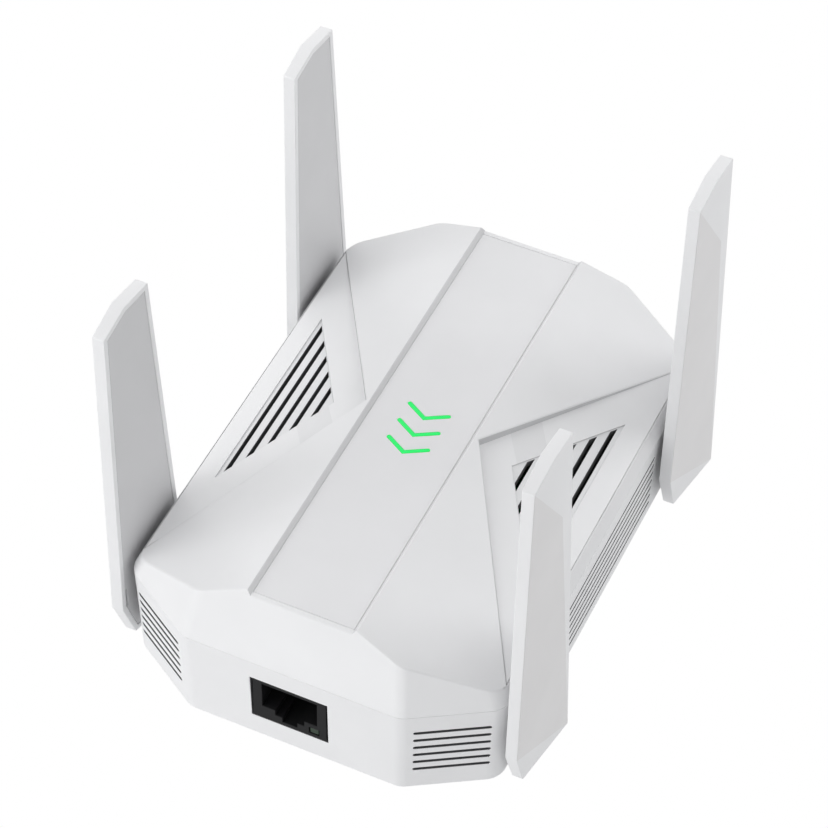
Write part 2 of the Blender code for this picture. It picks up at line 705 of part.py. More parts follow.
def prongs():
    """Two flat blades with chamfered tips, and the spring clips that hold their inner ends."""
    for side, name in ((-1, "left"), (1, "right")):
        x = side * PRONG_SPACING / 2
        half_x, half_y = PRONG_THICKNESS / 2, PRONG_WIDTH / 2
        tip = WALL_PLANE_Z - PRONG_LENGTH
        outline = [
            (-half_y, -22.6 * MM),
            (-half_y, tip + 1.5 * MM),
            (-half_y + 1.2 * MM, tip),
            (half_y - 1.2 * MM, tip),
            (half_y, tip + 1.5 * MM),
            (half_y, -22.6 * MM),
        ]
        bm = bmesh.new()
        add_prism(bm, outline, x - half_x, x + half_x, axis="X")
        prong = finish(f"prong_{name}", bm, NICKEL)
        eye = bmesh.new()
        eye_z = tip + 4.2 * MM
        add_rod(eye, (x - 3 * MM, 0, eye_z), (x + 3 * MM, 0, eye_z), 1.6 * MM, 16)
        boolean(prong, cutter(f"prong_eye_{name}", eye))

        clip = bmesh.new()
        low = (x - half_x - 0.9 * MM, -half_y - 0.9 * MM, -24.1 * MM)
        high = (x + half_x + 0.9 * MM, half_y + 0.9 * MM, -21.9 * MM)
        add_box(clip, low, high)
        contact = finish(f"prong_contact_{name}", clip, BRASS)
        inside = bmesh.new()
        low = (x - half_x - GAP, -half_y - GAP, -26 * MM)
        high = (x + half_x + GAP, half_y + GAP, -22.5 * MM + GAP / 2)
        add_box(inside, low, high)
        boolean(contact, cutter(f"contact_slot_{name}", inside))


# ---------------------------------------------------------------- electronics
def main_board():
    """The radio board, drilled for its two screws."""
    low, high = BOARD_TOP_Z - BOARD_THICKNESS, BOARD_TOP_Z
    end = 20 * MM
    side = BOARD_HALF_WIDTH
    y0, y1 = BOARD_Y
    outline = [
        (-end, y0), (end, y0), (side, y0 + 5 * MM), (side, y1 - 3 * MM),
        (end, y1), (-end, y1), (-side, y1 - 3 * MM), (-side, y0 + 5 * MM),
    ]
    bm = bmesh.new()
    add_prism(bm, outline, low, high)
    board = finish("main_board", bm, BOARD_GREEN)
    holes = bmesh.new()
    for x, y in corners(*STANDOFF_AT):
        add_rod(holes, (x, y, low - MM), (x, y, high + MM), 1.2 * MM, 12)
    boolean(board, cutter("board_holes", holes))


def shield_can(name, low, high):
    can = box(name, low, high, TIN, bevel=0.35 * MM)
    inside = bmesh.new()
    t = 0.4 * MM
    add_box(
        inside,
        (low[0] + t, low[1] + t, low[2] - MM),
        (high[0] - t, high[1] - t, high[2] - t),
    )
    boolean(can, cutter(name + "_inside", inside))


def heat_sink():
    """A finned block over the processor."""
    low = (-9 * MM, 11.5 * MM, BOARD_TOP_Z + GAP)
    high = (9 * MM, 27.5 * MM, 5.2 * MM)
    sink = box("heat_sink", low, high, ALUMINIUM)
    grooves = bmesh.new()
    count, fin = 5, 1.3 * MM
    pitch = (high[0] - low[0] - fin) / count
    for i in range(count):
        x = low[0] + fin + i * pitch
        add_box(grooves, (x, low[1] - MM, low[2] + 2 * MM), (x + pitch - fin, high[1] + MM, 9 * MM))
    boolean(sink, cutter("sink_grooves", grooves))


def jack():
    """The unshielded network jack, its comb of contacts and its link lamp's window."""
    low = (JACK_X - JACK_WIDTH / 2, JACK_FACE_Y, JACK_TOP_Z - JACK_HEIGHT)
    high = (JACK_X + JACK_WIDTH / 2, JACK_FACE_Y + JACK_LENGTH, JACK_TOP_Z)
    body = box("rj45_jack", low, high, BLACK)
    steps = bmesh.new()
    front, back = JACK_FACE_Y - MM, JACK_FACE_Y + 13.5 * MM
    roof = JACK_TOP_Z - 1.0 * MM
    half = 5.9 * MM
    shoulder = roof - 6.9 * MM
    latch, key = 3.1 * MM, 1.6 * MM
    ledge = shoulder - 1.5 * MM
    sill = ledge - 1.4 * MM
    outline = [
        (roof, JACK_X - half), (shoulder, JACK_X - half), (shoulder, JACK_X - latch),
        (ledge, JACK_X - latch), (ledge, JACK_X - key), (sill, JACK_X - key),
        (sill, JACK_X + key), (ledge, JACK_X + key), (ledge, JACK_X + latch),
        (shoulder, JACK_X + latch), (shoulder, JACK_X + half), (roof, JACK_X + half),
    ]
    add_prism(steps, outline, front, back, axis="Y")
    boolean(body, cutter("jack_cavity", steps))

    window = bmesh.new()
    lamp = (JACK_X + 4.3 * MM, JACK_FACE_Y, sill + 0.1 * MM)
    size = (1.9 * MM, 1.5 * MM)
    gap = GAP / 2
    add_box(
        window,
        (lamp[0] - gap, front, lamp[2] - gap),
        (lamp[0] + size[0] + gap, JACK_FACE_Y + 4 * MM, lamp[2] + size[1] + gap),
    )
    boolean(body, cutter("jack_lamp_window", window))
    box(
        "rj45_lamp_lens",
        (lamp[0], JACK_FACE_Y + gap, lamp[2]),
        (lamp[0] + size[0], JACK_FACE_Y + 3.8 * MM, lamp[2] + size[1]),
        LENS_GREEN,
    )

    pitch, wire = 1.02 * MM, 0.45 * MM
    comb = bmesh.new()
    y0, y1 = JACK_FACE_Y + 10.9 * MM, JACK_FACE_Y + 13.2 * MM
    top = roof - GAP
    add_box(comb, (JACK_X - 4.6 * MM, y0, top - 1.3 * MM), (JACK_X + 4.6 * MM, y1, top))
    holder = finish("rj45_contacts", comb, BRASS)
    for i in range(8):
        x = JACK_X + (i - 3.5) * pitch
        profile = [
            (y0 + 0.4 * MM, top - 1.0 * MM), (y0 - 7.0 * MM, top - 0.9 * MM),
            (y0 - 7.2 * MM, top - 1.4 * MM), (y0 + 0.6 * MM, top - 2.2 * MM),
            (y0 + 0.6 * MM, top - 1.75 * MM), (y0 - 6.2 * MM, top - 1.35 * MM),
            (y0 + 0.4 * MM, top - 1.3 * MM),
        ]
        wire_bm = bmesh.new()
        add_prism(wire_bm, profile, x - wire / 2, x + wire / 2, axis="X")
        boolean(holder, cutter(f"contact_wire_{i + 1}", wire_bm), "UNION")


def status_leds():
    """A small light board with three lamps, one under each lens."""
    foot = BOARD_TOP_Z + GAP
    low = (-2.4 * MM, CHEVRON_Y[-1] - MM, foot)
    high = (2.4 * MM, CHEVRON_Y[0] + 2.4 * MM, foot + 0.8 * MM)
    board = box("status_leds", low, high, CERAMIC)
    lamps = bmesh.new()
    for y in CHEVRON_Y:
        top = foot + 1.7 * MM
        add_box(lamps, (-1.6 * MM, y - 0.2 * MM, foot + 0.4 * MM), (1.6 * MM, y + 1.4 * MM, top))
    boolean(board, cutter("status_lamps", lamps), "UNION")


def power_supply():
    """The mains board and the tall parts on it."""
    top = POWER_BOARD_Z
    seat = top + GAP
    half = POWER_BOARD_HALF_WIDTH
    y0, y1 = POWER_BOARD_Y
    box("power_board", (-half, y0, top - BOARD_THICKNESS), (half, y1, top), BOARD_GREEN)

    leg = 2.4 * MM
    limb = 2.2 * MM
    core_top = -8.4 * MM
    core = box("transformer_core", (-8 * MM, 4 * MM, seat), (8 * MM, 20 * MM, core_top), FERRITE)
    windows = bmesh.new()
    for side in (-1, 1):
        x = sorted((side * leg, side * (8 * MM - limb)))
        add_box(windows, (x[0], 3 * MM, seat + limb), (x[1], 21 * MM, core_top - limb))
    boolean(core, cutter("core_windows", windows))
    reach = 8 * MM - limb - GAP
    low = (-reach, 1.5 * MM, seat + limb + GAP)
    high = (reach, 22.5 * MM, core_top - limb - GAP)
    winding = box("transformer_winding", low, high, TAPE, bevel=0.5 * MM)
    eye = bmesh.new()
    around = leg + GAP
    add_box(eye, (-around, 4 * MM - GAP, seat), (around, 20 * MM + GAP, core_top))
    boolean(winding, cutter("winding_eye", eye))

    rod("bulk_capacitor", (-9 * MM, -12 * MM, seat), (-9 * MM, -12 * MM, -7.6 * MM), 5 * MM, CAN_BLUE)
    rod("output_capacitor", (-11 * MM, 29 * MM, seat), (-11 * MM, 29 * MM, -10 * MM), 3.2 * MM, CAN_BLUE)
    lie = seat + 1.9 * MM
    rod("fuse_resistor", (10 * MM, -24 * MM, lie), (10 * MM, -14 * MM, lie), 1.9 * MM, CERAMIC, 12)
    box("rectifier", (6 * MM, -9 * MM, seat), (12 * MM, -4 * MM, seat + 2.6 * MM), FERRITE)
    under = BOARD_TOP_Z - BOARD_THICKNESS - GAP
    box("power_header", (2 * MM, 27 * MM, seat), (12 * MM, 29.5 * MM, under), BLACK)


# ---------------------------------------------------------------- pairing button
def pairing_button():
    """A push button in the far end face, and the switch that it presses."""
    half_x, half_z = BUTTON_SIZE[0] / 2, BUTTON_SIZE[1] / 2
    flange = 1.0 * MM
    at = Vector((0, 56.2 * MM, BUTTON_Z))
    bm = bmesh.new()
    add_box(bm, (-half_x, -0.9 * MM, -half_z), (half_x, 2.8 * MM, half_z))
    button = finish("pairing_button", bm, WHITE, at=at)
    rim = bmesh.new()
    wide, tall = half_x + flange, half_z + flange
    add_box(rim, (-wide, -1.2 * MM, -tall), (wide, -0.1 * MM, tall))
    boolean(button, cutter("button_rim", rim, at=at), "UNION")

    under = BOARD_TOP_Z - BOARD_THICKNESS - GAP
    low = (-3 * MM, 47.2 * MM, BUTTON_Z - 2 * MM)
    switch = box("pairing_switch", low, (3 * MM, 52.2 * MM, under), BLACK)
    nub = bmesh.new()
    start = (0, 51.5 * MM, BUTTON_Z)
    add_rod(nub, start, (0, 54.1 * MM, BUTTON_Z), 1.2 * MM, 12)
    boolean(switch, cutter("switch_nub", nub), "UNION")


# ---------------------------------------------------------------- antennas
def inset_outline(points, border):
    """The outline moved in by border, for an anticlockwise convex polygon."""
    moved = []
    count = len(points)
    for i in range(count):
        before, here, after = (Vector(points[(i + k) % count]) for k in (-1, 0, 1))
        first = (here - before).normalized()
        second = (after - here).normalized()
        one = Vector((-first.y, first.x))
        two = Vector((-second.y, second.x))
        bisector = (one + two).normalized()
        moved.append(here + bisector * (border / bisector.dot(one)))
    return [(p.x, p.y) for p in moved]


def blade_body(side):
    """A flat inner face, and an outer one whose facets meet at one raised point."""
    bm = bmesh.new()
    inner = [bm.verts.new((side * BLADE_INNER_X, y, z)) for y, z in BLADE_OUTLINE]
    outer = [bm.verts.new((side * x, y, z)) for x, (y, z) in zip(BLADE_RIM_X, BLADE_OUTLINE)]
    count = len(BLADE_OUTLINE)
    bm.faces.new(inner)
    for i in range(count):
        j = (i + 1) % count
        bm.faces.new((inner[i], inner[j], outer[j], outer[i]))
    heel, toe, tail, peak, tip, shoulder = outer
    x, y, z = BLADE_CREST
    crest = bm.verts.new((side * x, y, z))
    main = ((shoulder, heel, crest), (heel, tail, crest))
    edges = ((heel, toe, tail), (tail, peak, crest))
    top = ((peak, tip, crest), (tip, shoulder, crest))
    for face in main + edges + top:
        bm.faces.new(face)
    return bm


def antenna(name, side, y):
    """One blade antenna on its hinge; every piece but the cable turns about the hinge axis."""
    hinge = bpy.data.objects.new(name + "_hinge", None)
    bpy.context.scene.collection.objects.link(hinge)
    hinge.parent = wall_frame
    hinge.location = (0, y, HINGE_Z)

    def across(*values):
        return [side * value for value in values]

    def plate(bm, outline, low, high):
        x = sorted(across(low, high))
        add_prism(bm, outline, x[0], x[1], axis="X")

    floor_x = BLADE_INNER_X + 1.9 * MM
    shell = finish(name + "_shell", blade_body(side), WHITE, hinge)
    pocket = bmesh.new()
    plate(pocket, inset_outline(BLADE_OUTLINE, PANEL_BORDER), BLADE_INNER_X - MM, floor_x)
    boolean(shell, cutter(name + "_pocket", pocket, hinge))

    panel = bmesh.new()
    panel_x = (BLADE_INNER_X + 0.1 * MM, BLADE_INNER_X + 1.0 * MM)
    plate(panel, inset_outline(BLADE_OUTLINE, PANEL_BORDER + GAP), *panel_x)
    panel = finish(name + "_panel", panel, GREY_PANEL, hinge)
    bore = bmesh.new()
    add_rod(bore, (side * 40 * MM, 0, 0), (side * 45 * MM, 0, 0), 3.0 * MM + GAP, 16)
    boolean(panel, cutter(name + "_panel_bore", bore, hinge))

    strip = bmesh.new()
    strip_x = (BLADE_INNER_X + 1.3 * MM, floor_x - 0.2 * MM)
    copper = [
        (-3.5 * MM, 8 * MM), (3.5 * MM, 8 * MM), (3.5 * MM, 26 * MM), (-0.5 * MM, 30 * MM),
        (-0.5 * MM, 62 * MM), (-5.5 * MM, 62 * MM), (-5.5 * MM, 30 * MM), (-3.5 * MM, 26 * MM),
    ]
    plate(strip, copper, *strip_x)
    finish(name + "_radiator", strip, COPPER, hinge)

    # turned from the hollow hub in the blade to the groove that takes the retaining ring
    hub = ((35.4, 4.4), (36.3, 4.4), (36.3, 3.5), (37.4, 3.5), (37.4, 4.4), (40.45, 4.4))
    hub += ((40.45, 6.4), (41.05, 6.4), (41.05, 3.0), (42.7, 3.0), (42.7, 1.8), (35.4, 1.8))
    ring_sides = 24
    pivot = bmesh.new()
    loops = []
    for step in range(ring_sides):
        angle = math.tau * step / ring_sides
        loops.append([
            pivot.verts.new((side * x * MM, r * MM * math.cos(angle), r * MM * math.sin(angle)))
            for x, r in hub
        ])
    for step, loop in enumerate(loops):
        following = loops[(step + 1) % ring_sides]
        for i in range(len(hub)):
            j = (i + 1) % len(hub)
            pivot.faces.new((loop[i], loop[j], following[j], following[i]))
    finish(name + "_pivot", pivot, WHITE, hinge)

    ring = bmesh.new()
    add_rod(ring, (side * 36.55 * MM, 0, 0), (side * 37.15 * MM, 0, 0), 6.2 * MM, 24)
    ring = finish(name + "_ring", ring, STEEL, hinge)
    gap = bmesh.new()
    add_rod(gap, (side * 36 * MM, 0, 0), (side * 38 * MM, 0, 0), 3.8 * MM, 24)
    boolean(ring, cutter(name + "_ring_eye", gap, hinge))
    mouth = bmesh.new()
    x = sorted(across(36 * MM, 38 * MM))
    add_box(mouth, (x[0], -2.6 * MM, -9 * MM), (x[1], 2.6 * MM, 0))
    boolean(ring, cutter(name + "_ring_mouth", mouth, hinge))


def coax_cable(name, side, y):
    """The antenna's feed, from its hollow hub to a pad on the radio board."""
    toward = 1 if y > 0 else -1
    route = [
        (39.0, 38.85, -11.0), (35.0, 38.85, -11.0), (32.6, 38.5, -10.8), (30.2, 36.8, -9.6),
        (28.2, 34.6, -7.0), (26.6, 32.4, -3.6), (24.8, 29.8, -1.6), (22.6, 27.2, -1.4),
        (20.8, 24.6, -1.9),
    ]
    radius = 0.55 * MM
    path = [Vector((side * px * MM, toward * py * MM, pz * MM)) for px, py, pz in route]
    points = smooth_path(path, 3)
    sides = 8
    bm = bmesh.new()
    loops = []
    up = Vector((0, 0, 1))
    for i, point in enumerate(points):
        ahead = points[min(i + 1, len(points) - 1)]
        behind = points[max(i - 1, 0)]
        tangent = (ahead - behind).normalized()
        u = tangent.cross(up).normalized()
        v = tangent.cross(u)
        loop = []
        for step in range(sides):
            angle = math.tau * step / sides
            loop.append(bm.verts.new(point + (u * math.cos(angle) + v * math.sin(angle)) * radius))
        loops.append(loop)
    for first, second in zip(loops, loops[1:]):
        for i in range(sides):
            j = (i + 1) % sides
            bm.faces.new((first[i], first[j], second[j], second[i]))
    bm.faces.new(loops[0])
    bm.faces.new(loops[-1])
    finish(name + "_coax", bm, COAX_GREY)


def smooth_path(points, cuts):
    """Points along a Catmull-Rom curve through a list of points."""
    padded = [points[0], *points, points[-1]]
    result = [points[0]]
    for i in range(len(points) - 1):
        a, b, c, d = padded[i:i + 4]
        for step in range(1, cuts + 1):
            t = step / cuts
            result.append(
                0.5 * ((2 * b) + (c - a) * t + (2 * a - 5 * b + 4 * c - d) * t ** 2
                       + (3 * b - a - 3 * c + d) * t ** 3)
            )
    return result


# ---------------------------------------------------------------- assembly
front_cover()
centre_strip()
chevron_lenses()
light_shroud()
rear_housing()
screws()
plug_carrier()
prongs()
main_board()
shield_can("radio_shield", (-18 * MM, -34 * MM, -3 * MM), (-8.4 * MM, -12 * MM, -0.4 * MM))
shield_can("processor_shield", (8.4 * MM, -34 * MM, -3 * MM), (18 * MM, -8 * MM, -0.4 * MM))
heat_sink()
jack()
status_leds()
power_supply()
pairing_button()
for level, hinge_y in (("lower", -HINGE_Y), ("upper", HINGE_Y)):
    for hand, sign in (("left", -1), ("right", 1)):
        antenna(f"antenna_{level}_{hand}", sign, hinge_y)
        coax_cable(f"antenna_{level}_{hand}", sign, hinge_y)
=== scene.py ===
import math

import bmesh
import bpy
from mathutils import Matrix, Vector


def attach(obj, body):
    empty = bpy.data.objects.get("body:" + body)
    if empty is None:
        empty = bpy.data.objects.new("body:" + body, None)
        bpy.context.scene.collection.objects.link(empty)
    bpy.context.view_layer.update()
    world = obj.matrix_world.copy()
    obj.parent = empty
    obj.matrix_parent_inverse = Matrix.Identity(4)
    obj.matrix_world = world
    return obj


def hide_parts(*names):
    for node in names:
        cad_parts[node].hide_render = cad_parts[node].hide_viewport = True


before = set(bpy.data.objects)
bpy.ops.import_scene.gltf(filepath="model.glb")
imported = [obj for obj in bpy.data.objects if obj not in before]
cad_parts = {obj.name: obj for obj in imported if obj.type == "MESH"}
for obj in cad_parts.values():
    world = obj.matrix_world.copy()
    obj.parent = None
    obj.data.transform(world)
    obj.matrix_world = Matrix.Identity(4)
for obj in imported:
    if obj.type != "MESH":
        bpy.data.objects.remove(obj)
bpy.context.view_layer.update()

# The case is shaped lying on its back (X across, Y along, Z out of its front, Z = 0 at the
# seam) and every mesh is then stood up against the wall by STAND.
MM = 0.001
WALL_PLANE_Z = -35.3 * MM
STAND = Matrix.Translation((0, WALL_PLANE_Z, 0)) @ Matrix.Rotation(math.radians(90), 4, "X")

# ---------------------------------------------------------------- dimensions
GAP = 0.3 * MM
HALF_WIDTH = 40.2 * MM
HALF_LENGTH = 59.0 * MM
END_HALF_WIDTH = 23.0 * MM
CORNER_Y = 48.4 * MM
CORNER_BEVEL = 1.3 * MM
SIDE_CORNER_BEVEL = 2.6 * MM
RIDGE_X = 11.4 * MM
RIDGE_Z = 14.7 * MM
SIDE_EDGE_X = 38.8 * MM
SIDE_EDGE_Z = 3.3 * MM
END_SLOPE = 0.355                 # how far the ends lean in per unit of height
# a third point on the corner facet, besides its two ends at the seam
CORNER_TOP = (25.8 * MM, 53.3 * MM, 8.7 * MM)
WALL_DEPTH = 22.9 * MM
WALL_DRAFT = 0.7 * MM
BACK_Z = -29.0 * MM
BACK_SLOPE_RUN = 14.0 * MM
COVER_THICKNESS = 1.8 * MM
SLOPE_THICKNESS = 2.8 * MM
TUB_THICKNESS = 2.0 * MM
SEAM_GAP = 0.06 * MM
CHANNEL_Z = 13.7 * MM
STRIP_HALF_WIDTH = 10.6 * MM
STRIP_THICKNESS = 1.2 * MM
STRIP_GAP = 0.05 * MM
STRIP_HALF_LENGTH = 53.0 * MM
RECESS_APEX_X = 12.3 * MM
RECESS_HALF_LENGTH = 45.3 * MM
RECESS_DEPTH = 1.8 * MM
RECESS_FLARE = RECESS_HALF_LENGTH / (SIDE_EDGE_X - RECESS_APEX_X)
RECESS_EDGE_STEP = 0.06 * MM
LOUVRE_X = (22.0 * MM, 24.65 * MM, 27.3 * MM, 29.95 * MM, 32.6 * MM)
LOUVRE_APEX_X = 19.7 * MM
LOUVRE_SPREAD = 1.66
LOUVRE_FIELD_BASE = 34.0 * MM
LOUVRE_FIELD_DEPTH = 0.35 * MM
SLOT_WIDTH = 0.9 * MM
WALL_SLOT_HEIGHT = 0.78 * MM
WALL_SLOT_PITCH = 2.36 * MM
FIRST_WALL_SLOT_Z = -5.1 * MM
CORNER_SLOT_COUNT = 6
CORNER_SLOT_LENGTH = 15.0 * MM
SIDE_SLOT_COUNT = 7
SIDE_SLOT_LENGTH = 54.0 * MM
CHEVRON_Y = (0.9 * MM, -4.0 * MM, -8.9 * MM)
CHEVRON_HALF_WIDTH = 4.3 * MM
CHEVRON_RISE = 2.5 * MM
CHEVRON_STROKE = 0.85 * MM
JACK_X = -0.7 * MM
JACK_WIDTH = 15.8 * MM
JACK_HEIGHT = 11.6 * MM
JACK_TOP_Z = -5.2 * MM
JACK_FACE_Y = -58.5 * MM
JACK_LENGTH = 19.0 * MM
BOARD_TOP_Z = -3.3 * MM
BOARD_THICKNESS = 1.6 * MM
POWER_BOARD_Z = -20.0 * MM
POST_AT = (28.0 * MM, 44.0 * MM)
POST_RADIUS = 3.4 * MM
POST_BORE_RADIUS = 1.3 * MM
BOSS_RADIUS = 2.9 * MM
BOSS_BORE_RADIUS = 1.45 * MM
SCREW_WELL_RADIUS = 2.5 * MM
STANDOFF_AT = (20.6 * MM, 31.0 * MM)
STANDOFF_RADIUS = 2.2 * MM
STANDOFF_BORE_RADIUS = 0.95 * MM
RIB_Y = (-24 * MM, 30 * MM)
RIB_HALF_WIDTH = 12 * MM
LIP_SETBACK = 0.35 * MM
LIP_THICKNESS = 0.9 * MM
HINGE_Y = 38.85 * MM
HINGE_Z = -11.0 * MM
HINGE_HOLE_RADIUS = 4.8 * MM
BLADE_INNER_X = 41.25 * MM
BLADE_OUTLINE = (
    (-11.7 * MM, -0.6 * MM),
    (-7.5 * MM, -11.7 * MM),
    (14.5 * MM, -19.9 * MM),
    (6.2 * MM, 75.8 * MM),
    (-2.5 * MM, 77.6 * MM),
    (-10.6 * MM, 76.1 * MM),
)
BLADE_RIM_X = (43.8 * MM, 43.6 * MM, 44.0 * MM, 43.85 * MM, 44.0 * MM, 43.8 * MM)
BLADE_CREST = (44.8 * MM, 1.2 * MM, 58.3 * MM)
PANEL_BORDER = 1.3 * MM
SEAT_HALF_SIZE = (19 * MM, 14 * MM)
SEAT_CORNER_RADIUS = 4 * MM
SEAT_RIM_RADIUS = 0.8 * MM
NECK_HALF_SIZE = (15 * MM, 10 * MM)
PRONG_SPACING = 12.7 * MM
PRONG_THICKNESS = 1.5 * MM
PRONG_WIDTH = 6.35 * MM
PRONG_LENGTH = 17.0 * MM
BUTTON_Z = -10.2 * MM
BUTTON_SIZE = (9.0 * MM, 4.2 * MM)
BUTTON_Y = 56.2 * MM
TINY = 1e-7
FAR = 0.2
SMOOTH_BELOW = 32                 # degrees between faces; steeper edges stay sharp
ROUND_ABOVE = 9                   # degrees; flatter edges are never rounded


# ---------------------------------------------------------------- materials
def shader_tree(name):
    mat = bpy.data.materials.new(name)
    mat.use_nodes = True
    tree = mat.node_tree
    return mat, tree, tree.nodes["Principled BSDF"]


def object_coords(tree):
    return tree.nodes.new("ShaderNodeTexCoord").outputs["Object"]


def noise(tree, coords, scale, detail=2.0, roughness=0.5):
    node = tree.nodes.new("ShaderNodeTexNoise")
    node.inputs["Scale"].default_value = scale
    node.inputs["Detail"].default_value = detail
    node.inputs["Roughness"].default_value = roughness
    tree.links.new(coords, node.inputs["Vector"])
    return node.outputs["Fac"]


def ramp(tree, source, stops):
    node = tree.nodes.new("ShaderNodeValToRGB")
    elements = node.color_ramp.elements
    while len(elements) < len(stops):
        elements.new(0.5)
    for element, (at, colour) in zip(elements, stops):
        element.position = at
        element.color = (*colour, 1.0)
    tree.links.new(source, node.inputs["Fac"])
    return node.outputs["Color"]


def spread(tree, source, low, high):
    node = tree.nodes.new("ShaderNodeMapRange")
    node.inputs["To Min"].default_value = low
    node.inputs["To Max"].default_value = high
    tree.links.new(source, node.inputs["Value"])
    return node.outputs["Result"]


def bump(tree, shader, height, strength, distance):
    node = tree.nodes.new("ShaderNodeBump")
    node.inputs["Strength"].default_value = strength
    node.inputs["Distance"].default_value = distance
    tree.links.new(height, node.inputs["Height"])
    tree.links.new(node.outputs["Normal"], shader.inputs["Normal"])


def moulded_plastic(
    name, colour, roughness, grain=0.25, tint=0.012, emission=0.0, gloss=0.5,
):
    """Injection-moulded plastic: fine spark-eroded grain and the faintest clouding."""
    mat, tree, shader = shader_tree(name)
    coords = object_coords(tree)
    cloud = noise(tree, coords, 55.0, 3.0)
    darker = tuple(max(0.0, c * (1 - tint * 2)) for c in colour)
    lighter = tuple(min(1.0, c * (1 + tint)) for c in colour)
    base = ramp(tree, cloud, [(0.3, darker), (0.7, lighter)])
    tree.links.new(base, shader.inputs["Base Color"])
    fine = noise(tree, coords, 5200.0, 2.0, 0.6)
    patch = noise(tree, coords, 240.0, 2.0)
    rough = spread(tree, patch, roughness - 0.035, roughness + 0.035)
    tree.links.new(rough, shader.inputs["Roughness"])
    shader.inputs["Metallic"].default_value = 0.0
    shader.inputs["IOR"].default_value = 1.5
    shader.inputs["Specular IOR Level"].default_value = gloss
    if emission:
        shader.inputs["Emission Color"].default_value = (*colour, 1.0)
        shader.inputs["Emission Strength"].default_value = emission
    bump(tree, shader, fine, grain, 0.00002)
    mat.diffuse_color = (*colour, 1.0)
    return mat


def plated_metal(name, colour, roughness, stretch=(1, 1, 1), scratch=0.2):
    """Plated or rolled metal: streaks along one direction and slightly uneven polish."""
    mat, tree, shader = shader_tree(name)
    coords = object_coords(tree)
    mapping = tree.nodes.new("ShaderNodeMapping")
    mapping.inputs["Scale"].default_value = stretch
    tree.links.new(coords, mapping.inputs["Vector"])
    streaks = noise(tree, mapping.outputs["Vector"], 1800.0, 4.0, 0.65)
    patch = noise(tree, coords, 300.0, 3.0)
    darker = tuple(c * 0.86 for c in colour)
    base = ramp(tree, patch, [(0.25, darker), (0.75, colour)])
    tree.links.new(base, shader.inputs["Base Color"])
    rough = spread(tree, streaks, roughness - 0.07, roughness + 0.1)
    tree.links.new(rough, shader.inputs["Roughness"])
    shader.inputs["Metallic"].default_value = 1.0
    bump(tree, shader, streaks, scratch, 0.00001)
    mat.diffuse_color = (*colour, 1.0)
    return mat


def circuit_board(name, colour):
    """Solder mask with fine tracks under it and a scatter of small tinned pads."""
    mat, tree, shader = shader_tree(name)
    coords = object_coords(tree)
    bricks = tree.nodes.new("ShaderNodeTexBrick")
    bricks.inputs["Scale"].default_value = 260.0
    bricks.inputs["Mortar Size"].default_value = 0.06
    bricks.inputs["Color1"].default_value = (0, 0, 0, 1)
    bricks.inputs["Color2"].default_value = (0, 0, 0, 1)
    bricks.inputs["Mortar"].default_value = (1, 1, 1, 1)
    mapping = tree.nodes.new("ShaderNodeMapping")
    mapping.inputs["Rotation"].default_value = (math.radians(90), 0, 0)
    tree.links.new(coords, mapping.inputs["Vector"])
    tree.links.new(mapping.outputs["Vector"], bricks.inputs["Vector"])
    track = tuple(min(1.0, c * 1.9) for c in colour)
    base = ramp(tree, bricks.outputs["Color"], [(0.4, colour), (0.6, track)])
    cells = tree.nodes.new("ShaderNodeTexVoronoi")
    cells.inputs["Scale"].default_value = 420.0
    tree.links.new(coords, cells.inputs["Vector"])
    pads = spread(tree, cells.outputs["Distance"], 1.0, 0.0)
    step = tree.nodes.new("ShaderNodeMath")
    step.operation = "GREATER_THAN"
    step.inputs[1].default_value = 0.84
    tree.links.new(pads, step.inputs[0])
    mix = tree.nodes.new("ShaderNodeMix")
    mix.data_type = "RGBA"
    tree.links.new(step.outputs[0], mix.inputs["Factor"])
    tree.links.new(base, mix.inputs["A"])
    mix.inputs["B"].default_value = (0.62, 0.62, 0.60, 1.0)
    tree.links.new(mix.outputs["Result"], shader.inputs["Base Color"])
    shader.inputs["Roughness"].default_value = 0.36
    bump(tree, shader, bricks.outputs["Color"], 0.3, 0.00004)
    mat.diffuse_color = (*colour, 1.0)
    return mat


WHITE = moulded_plastic("satin_white", (0.84, 0.842, 0.85), 0.40)
STRIP_WHITE = moulded_plastic("strip_white", (0.80, 0.80, 0.81), 0.34, grain=0.15)
# a darker white painted as shade on the recess and louvre field floors, the pocket under the strip
# and the seam faces
RECESS_FLOOR_PAINTED_SHADE = moulded_plastic("recess_floor_painted_shade", (0.79, 0.792, 0.80), 0.40)
# grey painted shade on the side walls of the channel beside the strip
CHANNEL_WALL_PAINTED_SHADE = moulded_plastic("channel_wall_painted_shade", (0.68, 0.68, 0.69), 0.45)
# grey painted shade on the walls of the triangular recesses and the louvre fields
RECESS_WALL_PAINTED_SHADE = moulded_plastic("recess_wall_painted_shade", (0.62, 0.62, 0.63), 0.5)
# a greyer white painted as shade on the main outer facet of each antenna, setting it off from the
# lighter top and rear facets
BLADE_FACET_PAINTED_SHADE = moulded_plastic("antenna_facet_painted_shade", (0.785, 0.775, 0.775), 0.40)
